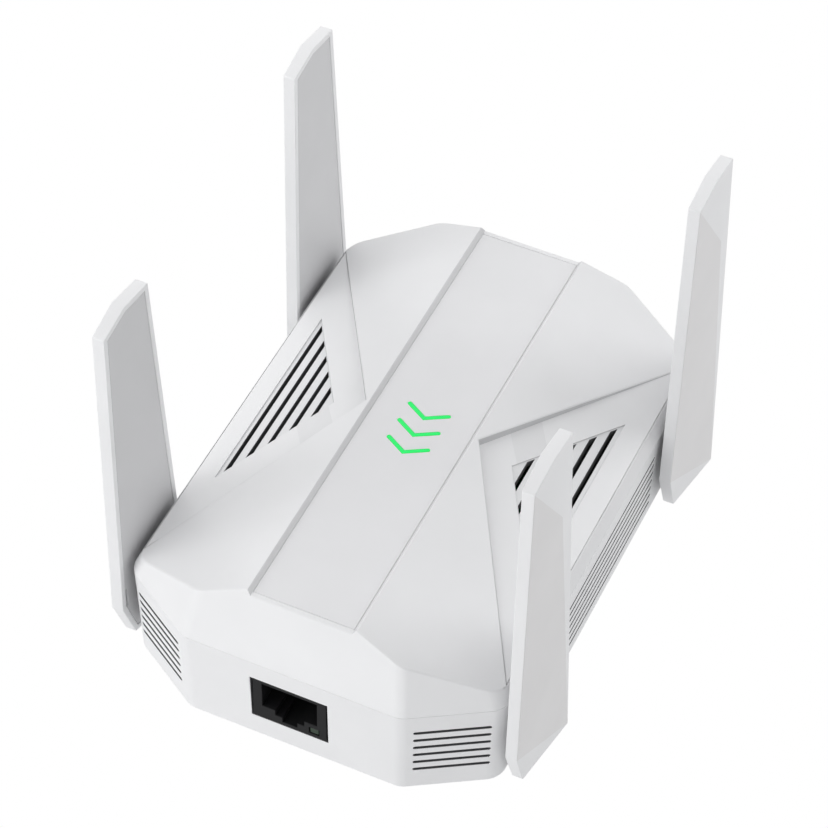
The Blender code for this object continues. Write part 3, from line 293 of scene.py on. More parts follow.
# near-black painted shade on every inside face of the cover and rear housing, so the slots and
# openings look dark
INSIDE_PAINTED_SHADE = moulded_plastic("inside_painted_shade", (0.11, 0.11, 0.114), 0.7)
PANEL_GREY = moulded_plastic("antenna_panel_grey", (0.63, 0.63, 0.638), 0.42)
BLACK = moulded_plastic("moulded_black", (0.008, 0.008, 0.009), 0.55, tint=0.1, gloss=0.25)
INNER_BLACK = moulded_plastic("inner_black", (0.02, 0.02, 0.022), 0.55, tint=0.1)
LENS_GREEN = moulded_plastic("lens_green", (0.012, 0.80, 0.14), 0.25, 0.1, 0.02, emission=0.25)
LAMP_GREEN = moulded_plastic("lamp_green", (0.012, 0.03, 0.014), 0.3, 0.1, 0.02)
CERAMIC = moulded_plastic("ceramic", (0.86, 0.84, 0.78), 0.7, 0.4, 0.03)
SLEEVE = moulded_plastic("capacitor_sleeve", (0.05, 0.10, 0.26), 0.33, 0.1, 0.05)
TAPE = moulded_plastic("winding_tape", (0.85, 0.62, 0.08), 0.4, 0.5, 0.06)
FERRITE = moulded_plastic("ferrite", (0.07, 0.07, 0.075), 0.62, 0.6, 0.1)
COAX = moulded_plastic("coax_jacket", (0.20, 0.20, 0.21), 0.5, 0.3, 0.03)
BOARD = circuit_board("solder_mask", (0.015, 0.12, 0.05))
TIN = plated_metal("tinned_steel", (0.72, 0.73, 0.74), 0.30, (1, 12, 1))
STEEL = plated_metal("zinc_steel", (0.62, 0.63, 0.65), 0.30)
GOLD = plated_metal("contact_gold", (0.90, 0.68, 0.30), 0.24, (1, 1, 10))
BRASS = plated_metal("spring_brass", (0.80, 0.64, 0.34), 0.30)
NICKEL = plated_metal("nickel_plate", (0.74, 0.72, 0.68), 0.24, (1, 1, 14), 0.12)
COPPER = plated_metal("copper_foil", (0.78, 0.42, 0.26), 0.3)
ALUMINIUM = plated_metal("extruded_aluminium", (0.80, 0.81, 0.82), 0.36, (12, 12, 1))


# ---------------------------------------------------------------- mesh helpers
def hold(name, bm):
    """A plain object from a bmesh, still lying on its back."""
    bmesh.ops.recalc_face_normals(bm, faces=bm.faces)
    mesh = bpy.data.meshes.new(name)
    bm.to_mesh(mesh)
    bm.free()
    thing = bpy.data.objects.new(name, mesh)
    bpy.context.scene.collection.objects.link(thing)
    return thing


def boolean(target, tool, operation="DIFFERENCE"):
    step = target.modifiers.new(tool.name, "BOOLEAN")
    step.operation = operation
    step.solver = "EXACT"
    step.object = tool


def settled(thing, spare=()):
    """Its mesh with every modifier applied; the object and its spare cutters go."""
    bpy.context.view_layer.update()
    graph = bpy.context.evaluated_depsgraph_get()
    mesh = bpy.data.meshes.new_from_object(thing.evaluated_get(graph))
    for used in (thing, *spare):
        bpy.data.objects.remove(used, do_unlink=True)
    return mesh


def cleaned(mesh):
    """The mesh with doubled vertices merged and coplanar faces joined."""
    tidy = bmesh.new()
    tidy.from_mesh(mesh)
    bmesh.ops.remove_doubles(tidy, verts=tidy.verts, dist=2e-7)
    bmesh.ops.dissolve_limit(
        tidy, angle_limit=math.radians(0.15), verts=tidy.verts, edges=tidy.edges
    )
    tidy.to_mesh(mesh)
    tidy.free()
    return mesh


def carve(name, bm, cuts=(), joins=()):
    """A bmesh minus the cutters and plus the joined shapes, in that order, as a clean mesh."""
    thing = hold(name, bm)
    tools = []
    for operation, shapes in (("DIFFERENCE", cuts), ("UNION", joins)):
        for shape in shapes:
            tool = shape if isinstance(shape, bpy.types.Object) else hold(name + "_tool", shape)
            tools.append(tool)
            boolean(thing, tool, operation)
    return cleaned(settled(thing, tools))


def keep_finish_and_shade_lines(mesh):
    """Keep the shading crisp along every edge between two materials, such as a painted shade
    beside plain white.
    """
    bm = bmesh.new()
    bm.from_mesh(mesh)
    for edge in bm.edges:
        if len({face.material_index for face in edge.link_faces}) > 1:
            edge.smooth = False
    bm.to_mesh(mesh)
    bm.free()


def piece(
    name, mesh, mat, body, nodes=(), width=0.0, rule=None, segments=2, finish_and_shade=None,
    crisp=False,
):
    """Stand a mesh up on its body, its edges rounded by rule(midpoint, angle, edge) and each
    face's material chosen by finish_and_shade(centre, normal), which may give it a painted shade;
    crisp keeps the lines between them."""
    mesh.name = name
    chosen = [finish_and_shade(face.center, face.normal) if finish_and_shade else mat for face in mesh.polygons]
    if width:
        bm = bmesh.new()
        bm.from_mesh(mesh)
        layer = bm.edges.layers.float.get("bevel_weight_edge")
        if layer is None:
            layer = bm.edges.layers.float.new("bevel_weight_edge")
        for edge in bm.edges:
            if len(edge.link_faces) != 2:
                continue
            angle = math.degrees(edge.calc_face_angle())
            if angle < ROUND_ABOVE:
                continue
            middle = (edge.verts[0].co + edge.verts[1].co) / 2
            weight = rule(middle, angle, edge) if rule else width
            edge[layer] = min(1.0, weight / width)
        bm.to_mesh(mesh)
        bm.free()
    mesh.transform(STAND)
    mesh.materials.clear()
    palette = [mat]
    for one in chosen:
        if one not in palette:
            palette.append(one)
    for one in palette:
        mesh.materials.append(one)
    for face, one in zip(mesh.polygons, chosen):
        face.material_index = palette.index(one)
    mesh.shade_smooth()
    mesh.set_sharp_from_angle(angle=math.radians(SMOOTH_BELOW))
    if crisp:
        keep_finish_and_shade_lines(mesh)
    thing = bpy.data.objects.new(name, mesh)
    bpy.context.scene.collection.objects.link(thing)
    if width:
        soft = thing.modifiers.new("edge_rounding", "BEVEL")
        soft.limit_method = "WEIGHT"
        soft.width = width
        soft.segments = segments
        soft.use_clamp_overlap = False
        soft.miter_outer = "MITER_ARC"
        even = thing.modifiers.new("even_shading", "WEIGHTED_NORMAL")
        even.keep_sharp = True
        even.weight = 60
    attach(thing, body)
    if nodes:
        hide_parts(*nodes)


def add_box(bm, low, high):
    low, high = Vector(low), Vector(high)
    size = high - low
    place = Matrix.Translation((low + high) / 2) @ Matrix.Diagonal((*size, 1))
    return bmesh.ops.create_cube(bm, size=1.0, matrix=place)["verts"]


def add_rod(bm, start, end, radius, sides=32):
    start, end = Vector(start), Vector(end)
    axis = end - start
    turn = Vector((0, 0, 1)).rotation_difference(axis).to_matrix().to_4x4()
    place = Matrix.Translation((start + end) / 2) @ turn
    bmesh.ops.create_cone(
        bm, cap_ends=True, segments=sides, radius1=radius, radius2=radius,
        depth=axis.length, matrix=place,
    )


def add_prism(bm, outline, low, high, axis="Z"):
    order = {"X": lambda u, v, w: (w, u, v), "Y": lambda u, v, w: (v, w, u)}
    place = order.get(axis, lambda u, v, w: (u, v, w))
    bottom = [bm.verts.new(place(u, v, low)) for u, v in outline]
    top = [bm.verts.new(place(u, v, high)) for u, v in outline]
    bm.faces.new(reversed(bottom))
    bm.faces.new(top)
    for i in range(len(outline)):
        j = (i + 1) % len(outline)
        bm.faces.new((bottom[i], bottom[j], top[j], top[i]))


def shape(build, *args, **kwargs):
    bm = bmesh.new()
    build(bm, *args, **kwargs)
    return bm


def plane_through(a, b, c):
    """A point and the normal that faces away from the middle of the case."""
    a, b, c = Vector(a), Vector(b), Vector(c)
    normal = (b - a).cross(c - a).normalized()
    if normal.dot(a - Vector((0, 0, -5 * MM))) < 0:
        normal.negate()
    return a, normal


def moved_in(planes, distance):
    return [(point - normal * distance, normal) for point, normal in planes]


def level(z, sign):
    return Vector((0, 0, z)), Vector((0, 0, sign))


def convex_solid(planes):
    """What is left of a big block after cutting along each (point, outward normal)."""
    bm = bmesh.new()
    add_box(bm, (-FAR, -FAR, -FAR), (FAR, FAR, FAR))
    for point, normal in planes:
        bmesh.ops.bisect_plane(
            bm, geom=bm.verts[:] + bm.edges[:] + bm.faces[:], dist=TINY,
            plane_co=point, plane_no=normal, clear_outer=True,
        )
        rim = [edge for edge in bm.edges if edge.is_boundary]
        if rim:
            bmesh.ops.contextual_create(bm, geom=rim)
    bmesh.ops.remove_doubles(bm, verts=bm.verts, dist=1e-6)
    return bm


def soften_upright_edges(bm, segments):
    """Round the corner edges that run mostly along Z, more widely beside the long sides."""
    between_x = (END_HALF_WIDTH + HALF_WIDTH) / 2
    for width, beside in ((CORNER_BEVEL, False), (SIDE_CORNER_BEVEL, True)):
        upright = []
        for edge in bm.edges:
            start, end = (v.co for v in edge.verts)
            run = end - start
            if abs(run.z) < 0.75 * run.length or len(edge.link_faces) != 2:
                continue
            if (abs(start.x) > between_x) == beside and edge.calc_face_angle() < math.radians(75):
                upright.append(edge)
        bmesh.ops.bevel(
            bm, geom=upright, offset=width, segments=segments, affect="EDGES", profile=0.5
        )


def corners(x, y):
    return [(sx * x, sy * y) for sx in (-1, 1) for sy in (-1, 1)]


def rounded_bar(length, height, segments=6):
    """The outline of a bar with round ends, centred on the origin."""
    r = height / 2
    points = []
    for side in (1, -1):
        for step in range(segments + 1):
            angle = math.radians(-90 + 180 * step / segments)
            across = length / 2 - r + r * math.cos(angle)
            points.append((side * across, side * r * math.sin(angle)))
    return points


def turned(profile, side, sides=48):
    """A closed ring profile of (x, radius) points turned about the X axis."""
    bm = bmesh.new()
    loops = []
    for step in range(sides):
        angle = math.tau * step / sides
        loops.append([
            bm.verts.new((side * x, r * math.cos(angle), r * math.sin(angle))) for x, r in profile
        ])
    for step, loop in enumerate(loops):
        following = loops[(step + 1) % sides]
        for i in range(len(profile)):
            j = (i + 1) % len(profile)
            bm.faces.new((loop[i], loop[j], following[j], following[i]))
    return bm


# ---------------------------------------------------------------- front cover
def cover_walls():
    end_top = HALF_LENGTH - END_SLOPE * RIDGE_Z
    planes = []
    for sy in (-1, 1):
        foot = (END_HALF_WIDTH, sy * HALF_LENGTH, 0)
        other = (-END_HALF_WIDTH, sy * HALF_LENGTH, 0)
        planes.append(plane_through(foot, other, (0, sy * end_top, RIDGE_Z)))
    for sx in (-1, 1):
        foot = (sx * HALF_WIDTH, 0, 0)
        along = (sx * HALF_WIDTH, HALF_LENGTH, 0)
        planes.append(plane_through(foot, along, (sx * SIDE_EDGE_X, 0, SIDE_EDGE_Z)))
    corner = [(END_HALF_WIDTH, HALF_LENGTH, 0), (HALF_WIDTH, CORNER_Y, 0), CORNER_TOP]
    for sx in (-1, 1):
        for sy in (-1, 1):
            planes.append(plane_through(*[(sx * x, sy * y, z) for x, y, z in corner]))
    return planes


def cover_slopes():
    planes = []
    for sx in (-1, 1):
        ridge = (sx * RIDGE_X, 0, RIDGE_Z)
        ridge_end = (sx * RIDGE_X, HALF_LENGTH, RIDGE_Z)
        planes.append(plane_through(ridge, ridge_end, (sx * SIDE_EDGE_X, 0, SIDE_EDGE_Z)))
    return planes


def slope_z(x):
    return RIDGE_Z - (x - RIDGE_X) * (RIDGE_Z - SIDE_EDGE_Z) / (SIDE_EDGE_X - RIDGE_X)


def recess_z(x):
    depth = RECESS_DEPTH * (SIDE_EDGE_X - x) / (SIDE_EDGE_X - RECESS_APEX_X)
    return slope_z(x) - depth - RECESS_EDGE_STEP


def over_recess(x, y, slack):
    """True beside the recess's long edges, for x and y taken as positive."""
    return x > RECESS_APEX_X and abs(y - RECESS_FLARE * (x - RECESS_APEX_X)) < slack


def recess_cutter(side, pieces=7):
    """A wedge over the triangular recess; its walls come in pieces so their edges can taper."""
    bm = bmesh.new()
    over = 4 * MM
    past_x = SIDE_EDGE_X + MM
    ring = []
    for s in (-1, 1):
        steps = range(pieces + 1) if s < 0 else range(pieces, 0, -1)
        for step in steps:
            x = RECESS_APEX_X + (past_x - RECESS_APEX_X) * step / pieces
            ring.append((x, s * RECESS_FLARE * (x - RECESS_APEX_X)))
    floor = [bm.verts.new((side * x, y, recess_z(x))) for x, y in ring]
    roof = [bm.verts.new((side * x, y, slope_z(x) + over)) for x, y in ring]
    bm.faces.new(floor)
    bm.faces.new(roof)
    for i in range(len(ring)):
        j = (i + 1) % len(ring)
        bm.faces.new((floor[i], floor[j], roof[j], roof[i]))
    return bm


def add_louvres(bm, side):
    for x in LOUVRE_X:
        outline = []
        for u, s in ((-1, -1), (1, -1), (1, 1), (-1, 1)):
            edge_x = x + u * SLOT_WIDTH / 2
            outline.append((side * edge_x, s * LOUVRE_SPREAD * (edge_x - LOUVRE_APEX_X)))
        add_prism(bm, outline, 0.5 * MM, 12 * MM)


def louvre_field(side):
    """The shallow triangular field that the slots are cut through."""
    bm = bmesh.new()
    tip = LOUVRE_APEX_X - 0.2 * MM
    ring = [(tip, 0)]
    ring += [(LOUVRE_FIELD_BASE, s * LOUVRE_SPREAD * (LOUVRE_FIELD_BASE - tip)) for s in (-1, 1)]
    floor = [bm.verts.new((side * x, y, recess_z(x) - LOUVRE_FIELD_DEPTH)) for x, y in ring]
    roof = [bm.verts.new((side * x, y, recess_z(x) + MM)) for x, y in ring]
    bm.faces.new(floor)
    bm.faces.new(roof)
    for i in range(3):
        j = (i + 1) % 3
        bm.faces.new((floor[i], floor[j], roof[j], roof[i]))
    return bm


def chevron_outline(y, grow=0.0, ends=5):
    """A V-shaped bar with round ends, its vertex towards -Y."""
    half = CHEVRON_STROKE / 2 + grow
    tip = Vector((CHEVRON_HALF_WIDTH, CHEVRON_RISE))
    arm = tip.normalized()
    side = Vector((-arm.y, arm.x))
    mitre = half / side.y
    right = [Vector((0, -mitre))]
    for step in range(ends + 1):
        angle = math.radians(-90 + 180 * step / ends)
        right.append(tip + arm * half * 0.8 * math.cos(angle) + side * half * math.sin(angle))
    right.append(Vector((0, mitre)))
    left = [Vector((-p.x, p.y)) for p in reversed(right[1:-1])]
    return [(p.x, p.y + y) for p in right + left]


def add_chevrons(bm, grow, low, high):
    for y in CHEVRON_Y:
        add_prism(bm, chevron_outline(y, grow), low, high)


def on_planes(point, planes, slack=0.02 * MM):
    return any(abs((point - at).dot(normal)) < slack for at, normal in planes)


def faces_out(point, normal, planes, slack=0.8 * MM):
    """True on the outer skin, rounded corners included."""
    return any(
        abs((point - at).dot(out)) < slack and normal.dot(out) > 0.45 for at, out in planes
    )


def make_front_cover():
    walls, slopes = cover_walls(), cover_slopes()
    solid = convex_solid(walls + slopes + [level(RIDGE_Z, 1), level(SEAM_GAP / 2, -1)])
    soften_upright_edges(solid, 8)

    ceiling = CHANNEL_Z - STRIP_THICKNESS - GAP - COVER_THICKNESS
    inner = moved_in(walls, COVER_THICKNESS) + moved_in(slopes, SLOPE_THICKNESS)
    hollow = hold("cover_hollow", convex_solid(inner + [level(ceiling, 1), level(-6 * MM, -1)]))
    bosses = bmesh.new()
    for x, y in corners(*POST_AT):
        add_rod(bosses, (x, y, -9 * MM), (x, y, 12 * MM), BOSS_RADIUS)
    boss_tool = hold("boss_tool", bosses)
    boolean(hollow, boss_tool)

    edge = STRIP_HALF_WIDTH + STRIP_GAP
    flare = RIDGE_X + (RIDGE_X - edge) * 2
    over = RIDGE_Z + (RIDGE_Z - CHANNEL_Z) * 2
    profile = [(CHANNEL_Z, -edge), (over, -flare), (over, flare), (CHANNEL_Z, edge)]
    channel = shape(add_prism, profile, -HALF_LENGTH * 1.2, HALF_LENGTH * 1.2, axis="Y")
    length = STRIP_HALF_LENGTH + STRIP_GAP
    floor = CHANNEL_Z - STRIP_THICKNESS - GAP
    pocket = shape(add_box, (-edge, -length, floor), (edge, length, CHANNEL_Z + MM))
    holes = bmesh.new()
    for x, y in corners(*POST_AT):
        add_rod(holes, (x, y, -3 * MM), (x, y, 4.6 * MM), BOSS_BORE_RADIUS, 16)
    cuts = [hollow, channel, pocket]
    for side in (-1, 1):
        cuts.append(recess_cutter(side))
        cuts.append(louvre_field(side))
        cuts.append(shape(add_louvres, side))
    cuts.append(shape(add_chevrons, 0.12 * MM, 5 * MM, 20 * MM))
    cuts.append(holes)
    mesh = carve("front_cover_shell", solid, cuts)
    bpy.data.objects.remove(boss_tool, do_unlink=True)

    def rule(middle, angle, edge):
        x, y, z = abs(middle.x), abs(middle.y), middle.z
        ends = [v.co for v in edge.verts]
        if z < SEAM_GAP:
            return 0.10 * MM if on_planes(middle, walls, 0.5 * MM) else 0.0
        outer = all(on_planes(p, walls + slopes) or p.z > CHANNEL_Z - 0.02 * MM for p in ends)
        if over_recess(x, y, 0.05 * MM):
            if abs(z - slope_z(x)) < 0.05 * MM:
                return min(0.28 * MM, 0.42 * (slope_z(x) - recess_z(x)))
            return 0.0
        if not outer:
            near_floor = -0.4 * MM < z - recess_z(x) < 0.03 * MM
            return 0.08 * MM if near_floor and LOUVRE_APEX_X - MM < x < 35 * MM else 0.0
        if x < STRIP_HALF_WIDTH + MM and z > CHANNEL_Z - 0.05 * MM and y < STRIP_HALF_LENGTH + MM:
            if z < RIDGE_Z - 0.2 * MM:
                return 0.10 * MM
        if z > RIDGE_Z - 0.2 * MM:
            return 0.22 * MM
        if angle < 14 and y > CORNER_Y - 4 * MM:
            return 0.0
        return 0.28 * MM

    def finish_and_shade(middle, normal):
        x, y, z = abs(middle.x), abs(middle.y), middle.z
        # the channel's side walls: grey painted shade
        if x < RIDGE_X + 0.3 * MM and CHANNEL_Z < z < RIDGE_Z and abs(normal.x) > 0.5:
            return CHANNEL_WALL_PAINTED_SHADE
        if faces_out(middle, normal, walls + slopes) or z > CHANNEL_Z - 0.05 * MM:
            return WHITE
        # the seam faces and the pocket under the strip: darker white painted shade
        if z < SEAM_GAP or (x < edge + 0.05 * MM and z > floor - 0.1 * MM and normal.z > -0.5):
            return RECESS_FLOOR_PAINTED_SHADE
        # the recess walls: grey painted shade
        if over_recess(x, y, 0.1 * MM) and z > recess_z(x) - 0.02 * MM:
            return RECESS_WALL_PAINTED_SHADE
        # in the louvre field the floor takes the darker white and the walls the grey, both painted
        # shade
        depth = recess_z(x) - z
        if -0.02 * MM < depth < LOUVRE_FIELD_DEPTH + 0.02 * MM:
            return RECESS_FLOOR_PAINTED_SHADE if normal.z > 0.7 else RECESS_WALL_PAINTED_SHADE
        # every other inside face: near-black painted shade
        return INSIDE_PAINTED_SHADE

    piece(
        "front_cover_shell", mesh, WHITE, "case", ["front_cover"],
        width=0.5 * MM, rule=rule, segments=3, finish_and_shade=finish_and_shade,
    )


def make_strip():
    top, bottom = CHANNEL_Z, CHANNEL_Z - STRIP_THICKNESS
    solid = bmesh.new()
    low = (-STRIP_HALF_WIDTH, -STRIP_HALF_LENGTH, bottom)
    add_box(solid, low, (STRIP_HALF_WIDTH, STRIP_HALF_LENGTH, top))
    cut = shape(add_chevrons, 0.06 * MM, bottom - MM, top + MM)
    mesh = carve("channel_strip", solid, [cut])

    def rule(middle, angle, edge):
        inset_x, inset_y = STRIP_HALF_WIDTH - abs(middle.x), STRIP_HALF_LENGTH - abs(middle.y)
        return 0.1 * MM if min(inset_x, inset_y) < 0.1 * MM else 0.05 * MM

    piece(
        "channel_strip", mesh, STRIP_WHITE, "case", ["centre_strip"],
        width=0.2 * MM, rule=rule, segments=3,
    )


def make_lenses():
    for number, y in enumerate(CHEVRON_Y, start=1):
        bm = shape(add_prism, chevron_outline(y, -0.01 * MM), 9.2 * MM, CHANNEL_Z + 0.02 * MM)
        mesh = carve("lens", bm)
        piece(
            f"status_chevron_{number}", mesh, LENS_GREEN, "case",
            [f"chevron_lens_{number}"], width=0.08 * MM,
            rule=lambda m, a, e: 0.07 * MM if m.z > CHANNEL_Z - 0.1 * MM else 0.0,
        )


# ---------------------------------------------------------------- rear housing
def tub_planes():
    planes = []

    def wall_and_rim(first, second, out):
        out = Vector((out[0], out[1], 0)).normalized()
        a, b = Vector((*first, 0)), Vector((*second, 0))
        down = Vector((0, 0, -WALL_DEPTH)) - out * WALL_DRAFT
        planes.append(plane_through(a, b, a + down))
        back = a + down - out * BACK_SLOPE_RUN + Vector((0, 0, BACK_Z + WALL_DEPTH))
        planes.append(plane_through(a + down, b + down, back))

    for sy in (-1, 1):
        y = sy * HALF_LENGTH
        wall_and_rim((-END_HALF_WIDTH, y), (END_HALF_WIDTH, y), (0, sy))
    for sx in (-1, 1):
        x = sx * HALF_WIDTH
        wall_and_rim((x, -CORNER_Y), (x, CORNER_Y), (sx, 0))
        for sy in (-1, 1):
            first = (sx * END_HALF_WIDTH, sy * HALF_LENGTH)
            out = (HALF_LENGTH - CORNER_Y, HALF_WIDTH - END_HALF_WIDTH)
            wall_and_rim(first, (x, sy * CORNER_Y), (sx * out[0], sy * out[1]))
    planes.append(level(BACK_Z, -1))
    return planes


def add_wall_slots(bm):
    """Round-ended slots through the long sides and the four corner facets."""
    deep = 4 * MM
    for side in (-1, 1):
        for row in range(SIDE_SLOT_COUNT):
            z = FIRST_WALL_SLOT_Z - row * WALL_SLOT_PITCH
            bar = [(u, v + z) for u, v in rounded_bar(SIDE_SLOT_LENGTH, WALL_SLOT_HEIGHT)]
            x = sorted((side * (HALF_WIDTH - deep), side * (HALF_WIDTH + deep)))
            add_prism(bm, bar, x[0], x[1], axis="X")
    run = Vector((HALF_WIDTH - END_HALF_WIDTH, CORNER_Y - HALF_LENGTH, 0))
    middle = Vector((END_HALF_WIDTH, HALF_LENGTH, 0)) + run / 2
    for sx, sy in corners(1, 1):
        centre = Vector((sx * middle.x, sy * middle.y, 0))
        angle = math.atan2(sy * run.y, sx * run.x)
        turn = Matrix.Translation(centre) @ Matrix.Rotation(angle, 4, "Z")
        for row in range(CORNER_SLOT_COUNT):
            z = FIRST_WALL_SLOT_Z - row * WALL_SLOT_PITCH
            before = set(bm.verts)
            bar = [(v + z, u) for u, v in rounded_bar(CORNER_SLOT_LENGTH, WALL_SLOT_HEIGHT)]
            add_prism(bm, bar, -deep, deep, axis="Y")
            fresh = [v for v in bm.verts if v not in before]
            bmesh.ops.transform(bm, matrix=turn, verts=fresh)


def make_rear_housing():
    planes = tub_planes()
    solid = convex_solid(planes + [level(-SEAM_GAP / 2, 1)])
    soften_upright_edges(solid, 8)

    hollow = hold("tub_hollow", convex_solid(moved_in(planes, TUB_THICKNESS) + [level(6 * MM, 1)]))
    inside = bmesh.new()
    for x, y in corners(*POST_AT):
        add_rod(inside, (x, y, WALL_PLANE_Z), (x, y, -GAP), POST_RADIUS)
    for x, y in corners(*STANDOFF_AT):
        top = BOARD_TOP_Z - BOARD_THICKNESS - GAP
        add_rod(inside, (x, y, WALL_PLANE_Z), (x, y, top), STANDOFF_RADIUS, 20)
    rib_top = POWER_BOARD_Z - BOARD_THICKNESS - GAP
    for y in RIB_Y:
        low, high = (-RIB_HALF_WIDTH, y - MM, WALL_PLANE_Z), (RIB_HALF_WIDTH, y + MM, rib_top)
        add_box(inside, low, high)
    inside_tool = hold("tub_inside", inside)
    boolean(hollow, inside_tool)

    lip_planes = moved_in(cover_walls(), COVER_THICKNESS + LIP_SETBACK)
    lip_planes += moved_in(cover_slopes(), SLOPE_THICKNESS + LIP_SETBACK)
    lip = hold("lip", convex_solid(lip_planes + [level(1.5 * MM, 1), level(-2 * MM, -1)]))
    inner_planes = moved_in(cover_walls(), COVER_THICKNESS + LIP_SETBACK + LIP_THICKNESS)
    inner_planes += [level(4 * MM, 1), level(-5 * MM, -1)]
    lip_tool = hold("lip_tool", convex_solid(inner_planes))
    boolean(lip, lip_tool)

    openings = bmesh.new()
    low = (JACK_X - JACK_WIDTH / 2 - GAP, -65 * MM, JACK_TOP_Z - JACK_HEIGHT - GAP)
    high = (JACK_X + JACK_WIDTH / 2 + GAP, -54 * MM, JACK_TOP_Z + GAP)
    add_box(openings, low, high)
    half_x, half_z = BUTTON_SIZE[0] / 2 + GAP, BUTTON_SIZE[1] / 2 + GAP
    add_box(openings, (-half_x, 54 * MM, BUTTON_Z - half_z), (half_x, 65 * MM, BUTTON_Z + half_z))
    half_x, half_y = NECK_HALF_SIZE[0] + GAP, NECK_HALF_SIZE[1] + GAP
    add_box(openings, (-half_x, -half_y, -32 * MM), (half_x, half_y, -25 * MM))
    for side, y in corners(1, HINGE_Y):
        hole = (side * 34 * MM, y, HINGE_Z), (side * 44 * MM, y, HINGE_Z)
        add_rod(openings, *hole, HINGE_HOLE_RADIUS, 48)
    for x, y in corners(*POST_AT):
        add_rod(openings, (x, y, -36 * MM), (x, y, -9 * MM), SCREW_WELL_RADIUS)
    bores = bmesh.new()
    for x, y in corners(*POST_AT):
        add_rod(bores, (x, y, -12 * MM), (x, y, MM), POST_BORE_RADIUS, 16)
    for x, y in corners(*STANDOFF_AT):
        add_rod(bores, (x, y, -14 * MM), (x, y, MM), STANDOFF_BORE_RADIUS, 12)

    thing = hold("rear_housing_shell", solid)
    tools = [hollow, hold("slots", shape(add_wall_slots)), lip]
    tools += [hold("openings", openings), hold("bores", bores)]
    for tool in tools:
        boolean(thing, tool, "UNION" if tool == lip else "DIFFERENCE")
    mesh = cleaned(settled(thing, tools + [inside_tool, lip_tool]))

    def rule(middle, angle, edge):
        if middle.z > -SEAM_GAP:
            return 0.10 * MM if on_planes(middle, planes, 0.5 * MM) else 0.0
        if not all(on_planes(v.co, planes, 0.35 * MM) for v in edge.verts):
            return 0.0
        run = edge.verts[0].co - edge.verts[1].co
        if abs(run.z) > 0.9 * run.length and run.length > 20 * MM:
            return 0.0
        if any((middle.xy - Vector(at)).length < 3.2 * MM for at in corners(*POST_AT)):
            return 0.1 * MM
        if middle.z < -WALL_DEPTH + 0.3 * MM and angle < 80:
            return 0.5 * MM if angle > 14 else 0.0
        if abs(middle.z - (JACK_TOP_Z - JACK_HEIGHT / 2)) < 7 * MM and abs(middle.x) < 10 * MM:
            return 0.18 * MM
        return 0.12 * MM

    def finish_and_shade(middle, normal):
        skin = any(abs((middle - at).dot(out)) < 0.45 * MM for at, out in planes)
        skin = skin or faces_out(middle, normal, planes)
        # inside faces take near-black painted shade; the outer skin stays plain white
        return WHITE if skin or middle.z > -SEAM_GAP else INSIDE_PAINTED_SHADE

    piece(
        "rear_housing_shell", mesh, WHITE, "case", ["rear_housing"],
        width=1.0 * MM, rule=rule, segments=3, finish_and_shade=finish_and_shade,
    )


# ---------------------------------------------------------------- plug
def make_plug():
    half_x, half_y = SEAT_HALF_SIZE
    low, high = WALL_PLANE_Z, BACK_Z - GAP
    solid = shape(add_box, (-half_x, -half_y, low), (half_x, half_y, high))
    upright = [e for e in solid.edges if abs(e.verts[0].co.z - e.verts[1].co.z) > MM]
    bmesh.ops.bevel(
        solid, geom=upright, offset=SEAT_CORNER_RADIUS, segments=10, affect="EDGES", profile=0.5
    )
    rim = [e for e in solid.edges if all(abs(v.co.z - low) < 0.01 * MM for v in e.verts)]
    bmesh.ops.bevel(
        solid, geom=rim, offset=SEAT_RIM_RADIUS, segments=4, affect="EDGES", profile=0.5
    )
    half_x, half_y = NECK_HALF_SIZE
    neck = shape(add_box, (-half_x, -half_y, high - MM), (half_x, half_y, -24.4 * MM))
    slots = bmesh.new()
    for side in (-1, 1):
        x = side * PRONG_SPACING / 2
        reach_x = PRONG_THICKNESS / 2 + GAP / 2
        reach_y = PRONG_WIDTH / 2 + GAP / 2
        add_box(slots, (x - reach_x, -reach_y, -50 * MM), (x + reach_x, reach_y, -20 * MM))
    whole = carve("plug_seat", solid, joins=[neck])
    again = bmesh.new()
    again.from_mesh(whole)
    mesh = carve("plug_seat", again, [slots])

    def rule(middle, angle, edge):
        at_slot = abs(middle.x) < 12 * MM and abs(middle.y) < 8 * MM
        return 0.15 * MM if at_slot and abs(middle.z - low) < 0.1 * MM else 0.0

    piece(
        "plug_seat", mesh, WHITE, "case", ["plug_carrier"],
        width=0.15 * MM, rule=rule,
    )

    for side, name in ((-1, "left"), (1, "right")):
        x = side * PRONG_SPACING / 2
        half_t, half_w = PRONG_THICKNESS / 2, PRONG_WIDTH / 2
        tip = WALL_PLANE_Z - PRONG_LENGTH
        outline = [
            (-half_w, -22.6 * MM), (-half_w, tip + 1.5 * MM), (-half_w + 1.2 * MM, tip),
            (half_w - 1.2 * MM, tip), (half_w, tip + 1.5 * MM), (half_w, -22.6 * MM),
        ]
        blade = shape(add_prism, outline, x - half_t, x + half_t, axis="X")
        eye_z = tip + 4.2 * MM
        eye = shape(add_rod, (x - 3 * MM, 0, eye_z), (x + 3 * MM, 0, eye_z), 1.6 * MM, 40)
        mesh = carve("blade", blade, [eye])

        def blade_rule(middle, angle, edge, tip=tip, eye_z=eye_z):
            near_eye = math.hypot(middle.y, middle.z - eye_z) < 1.8 * MM
            if near_eye:
                return 0.12 * MM
            return 0.4 * MM if middle.z < tip + 1.6 * MM else 0.22 * MM

        piece(
            f"plug_blade_{name}", mesh, NICKEL, "case", [f"prong_{name}"],
            width=0.4 * MM, rule=blade_rule, segments=3,
        )


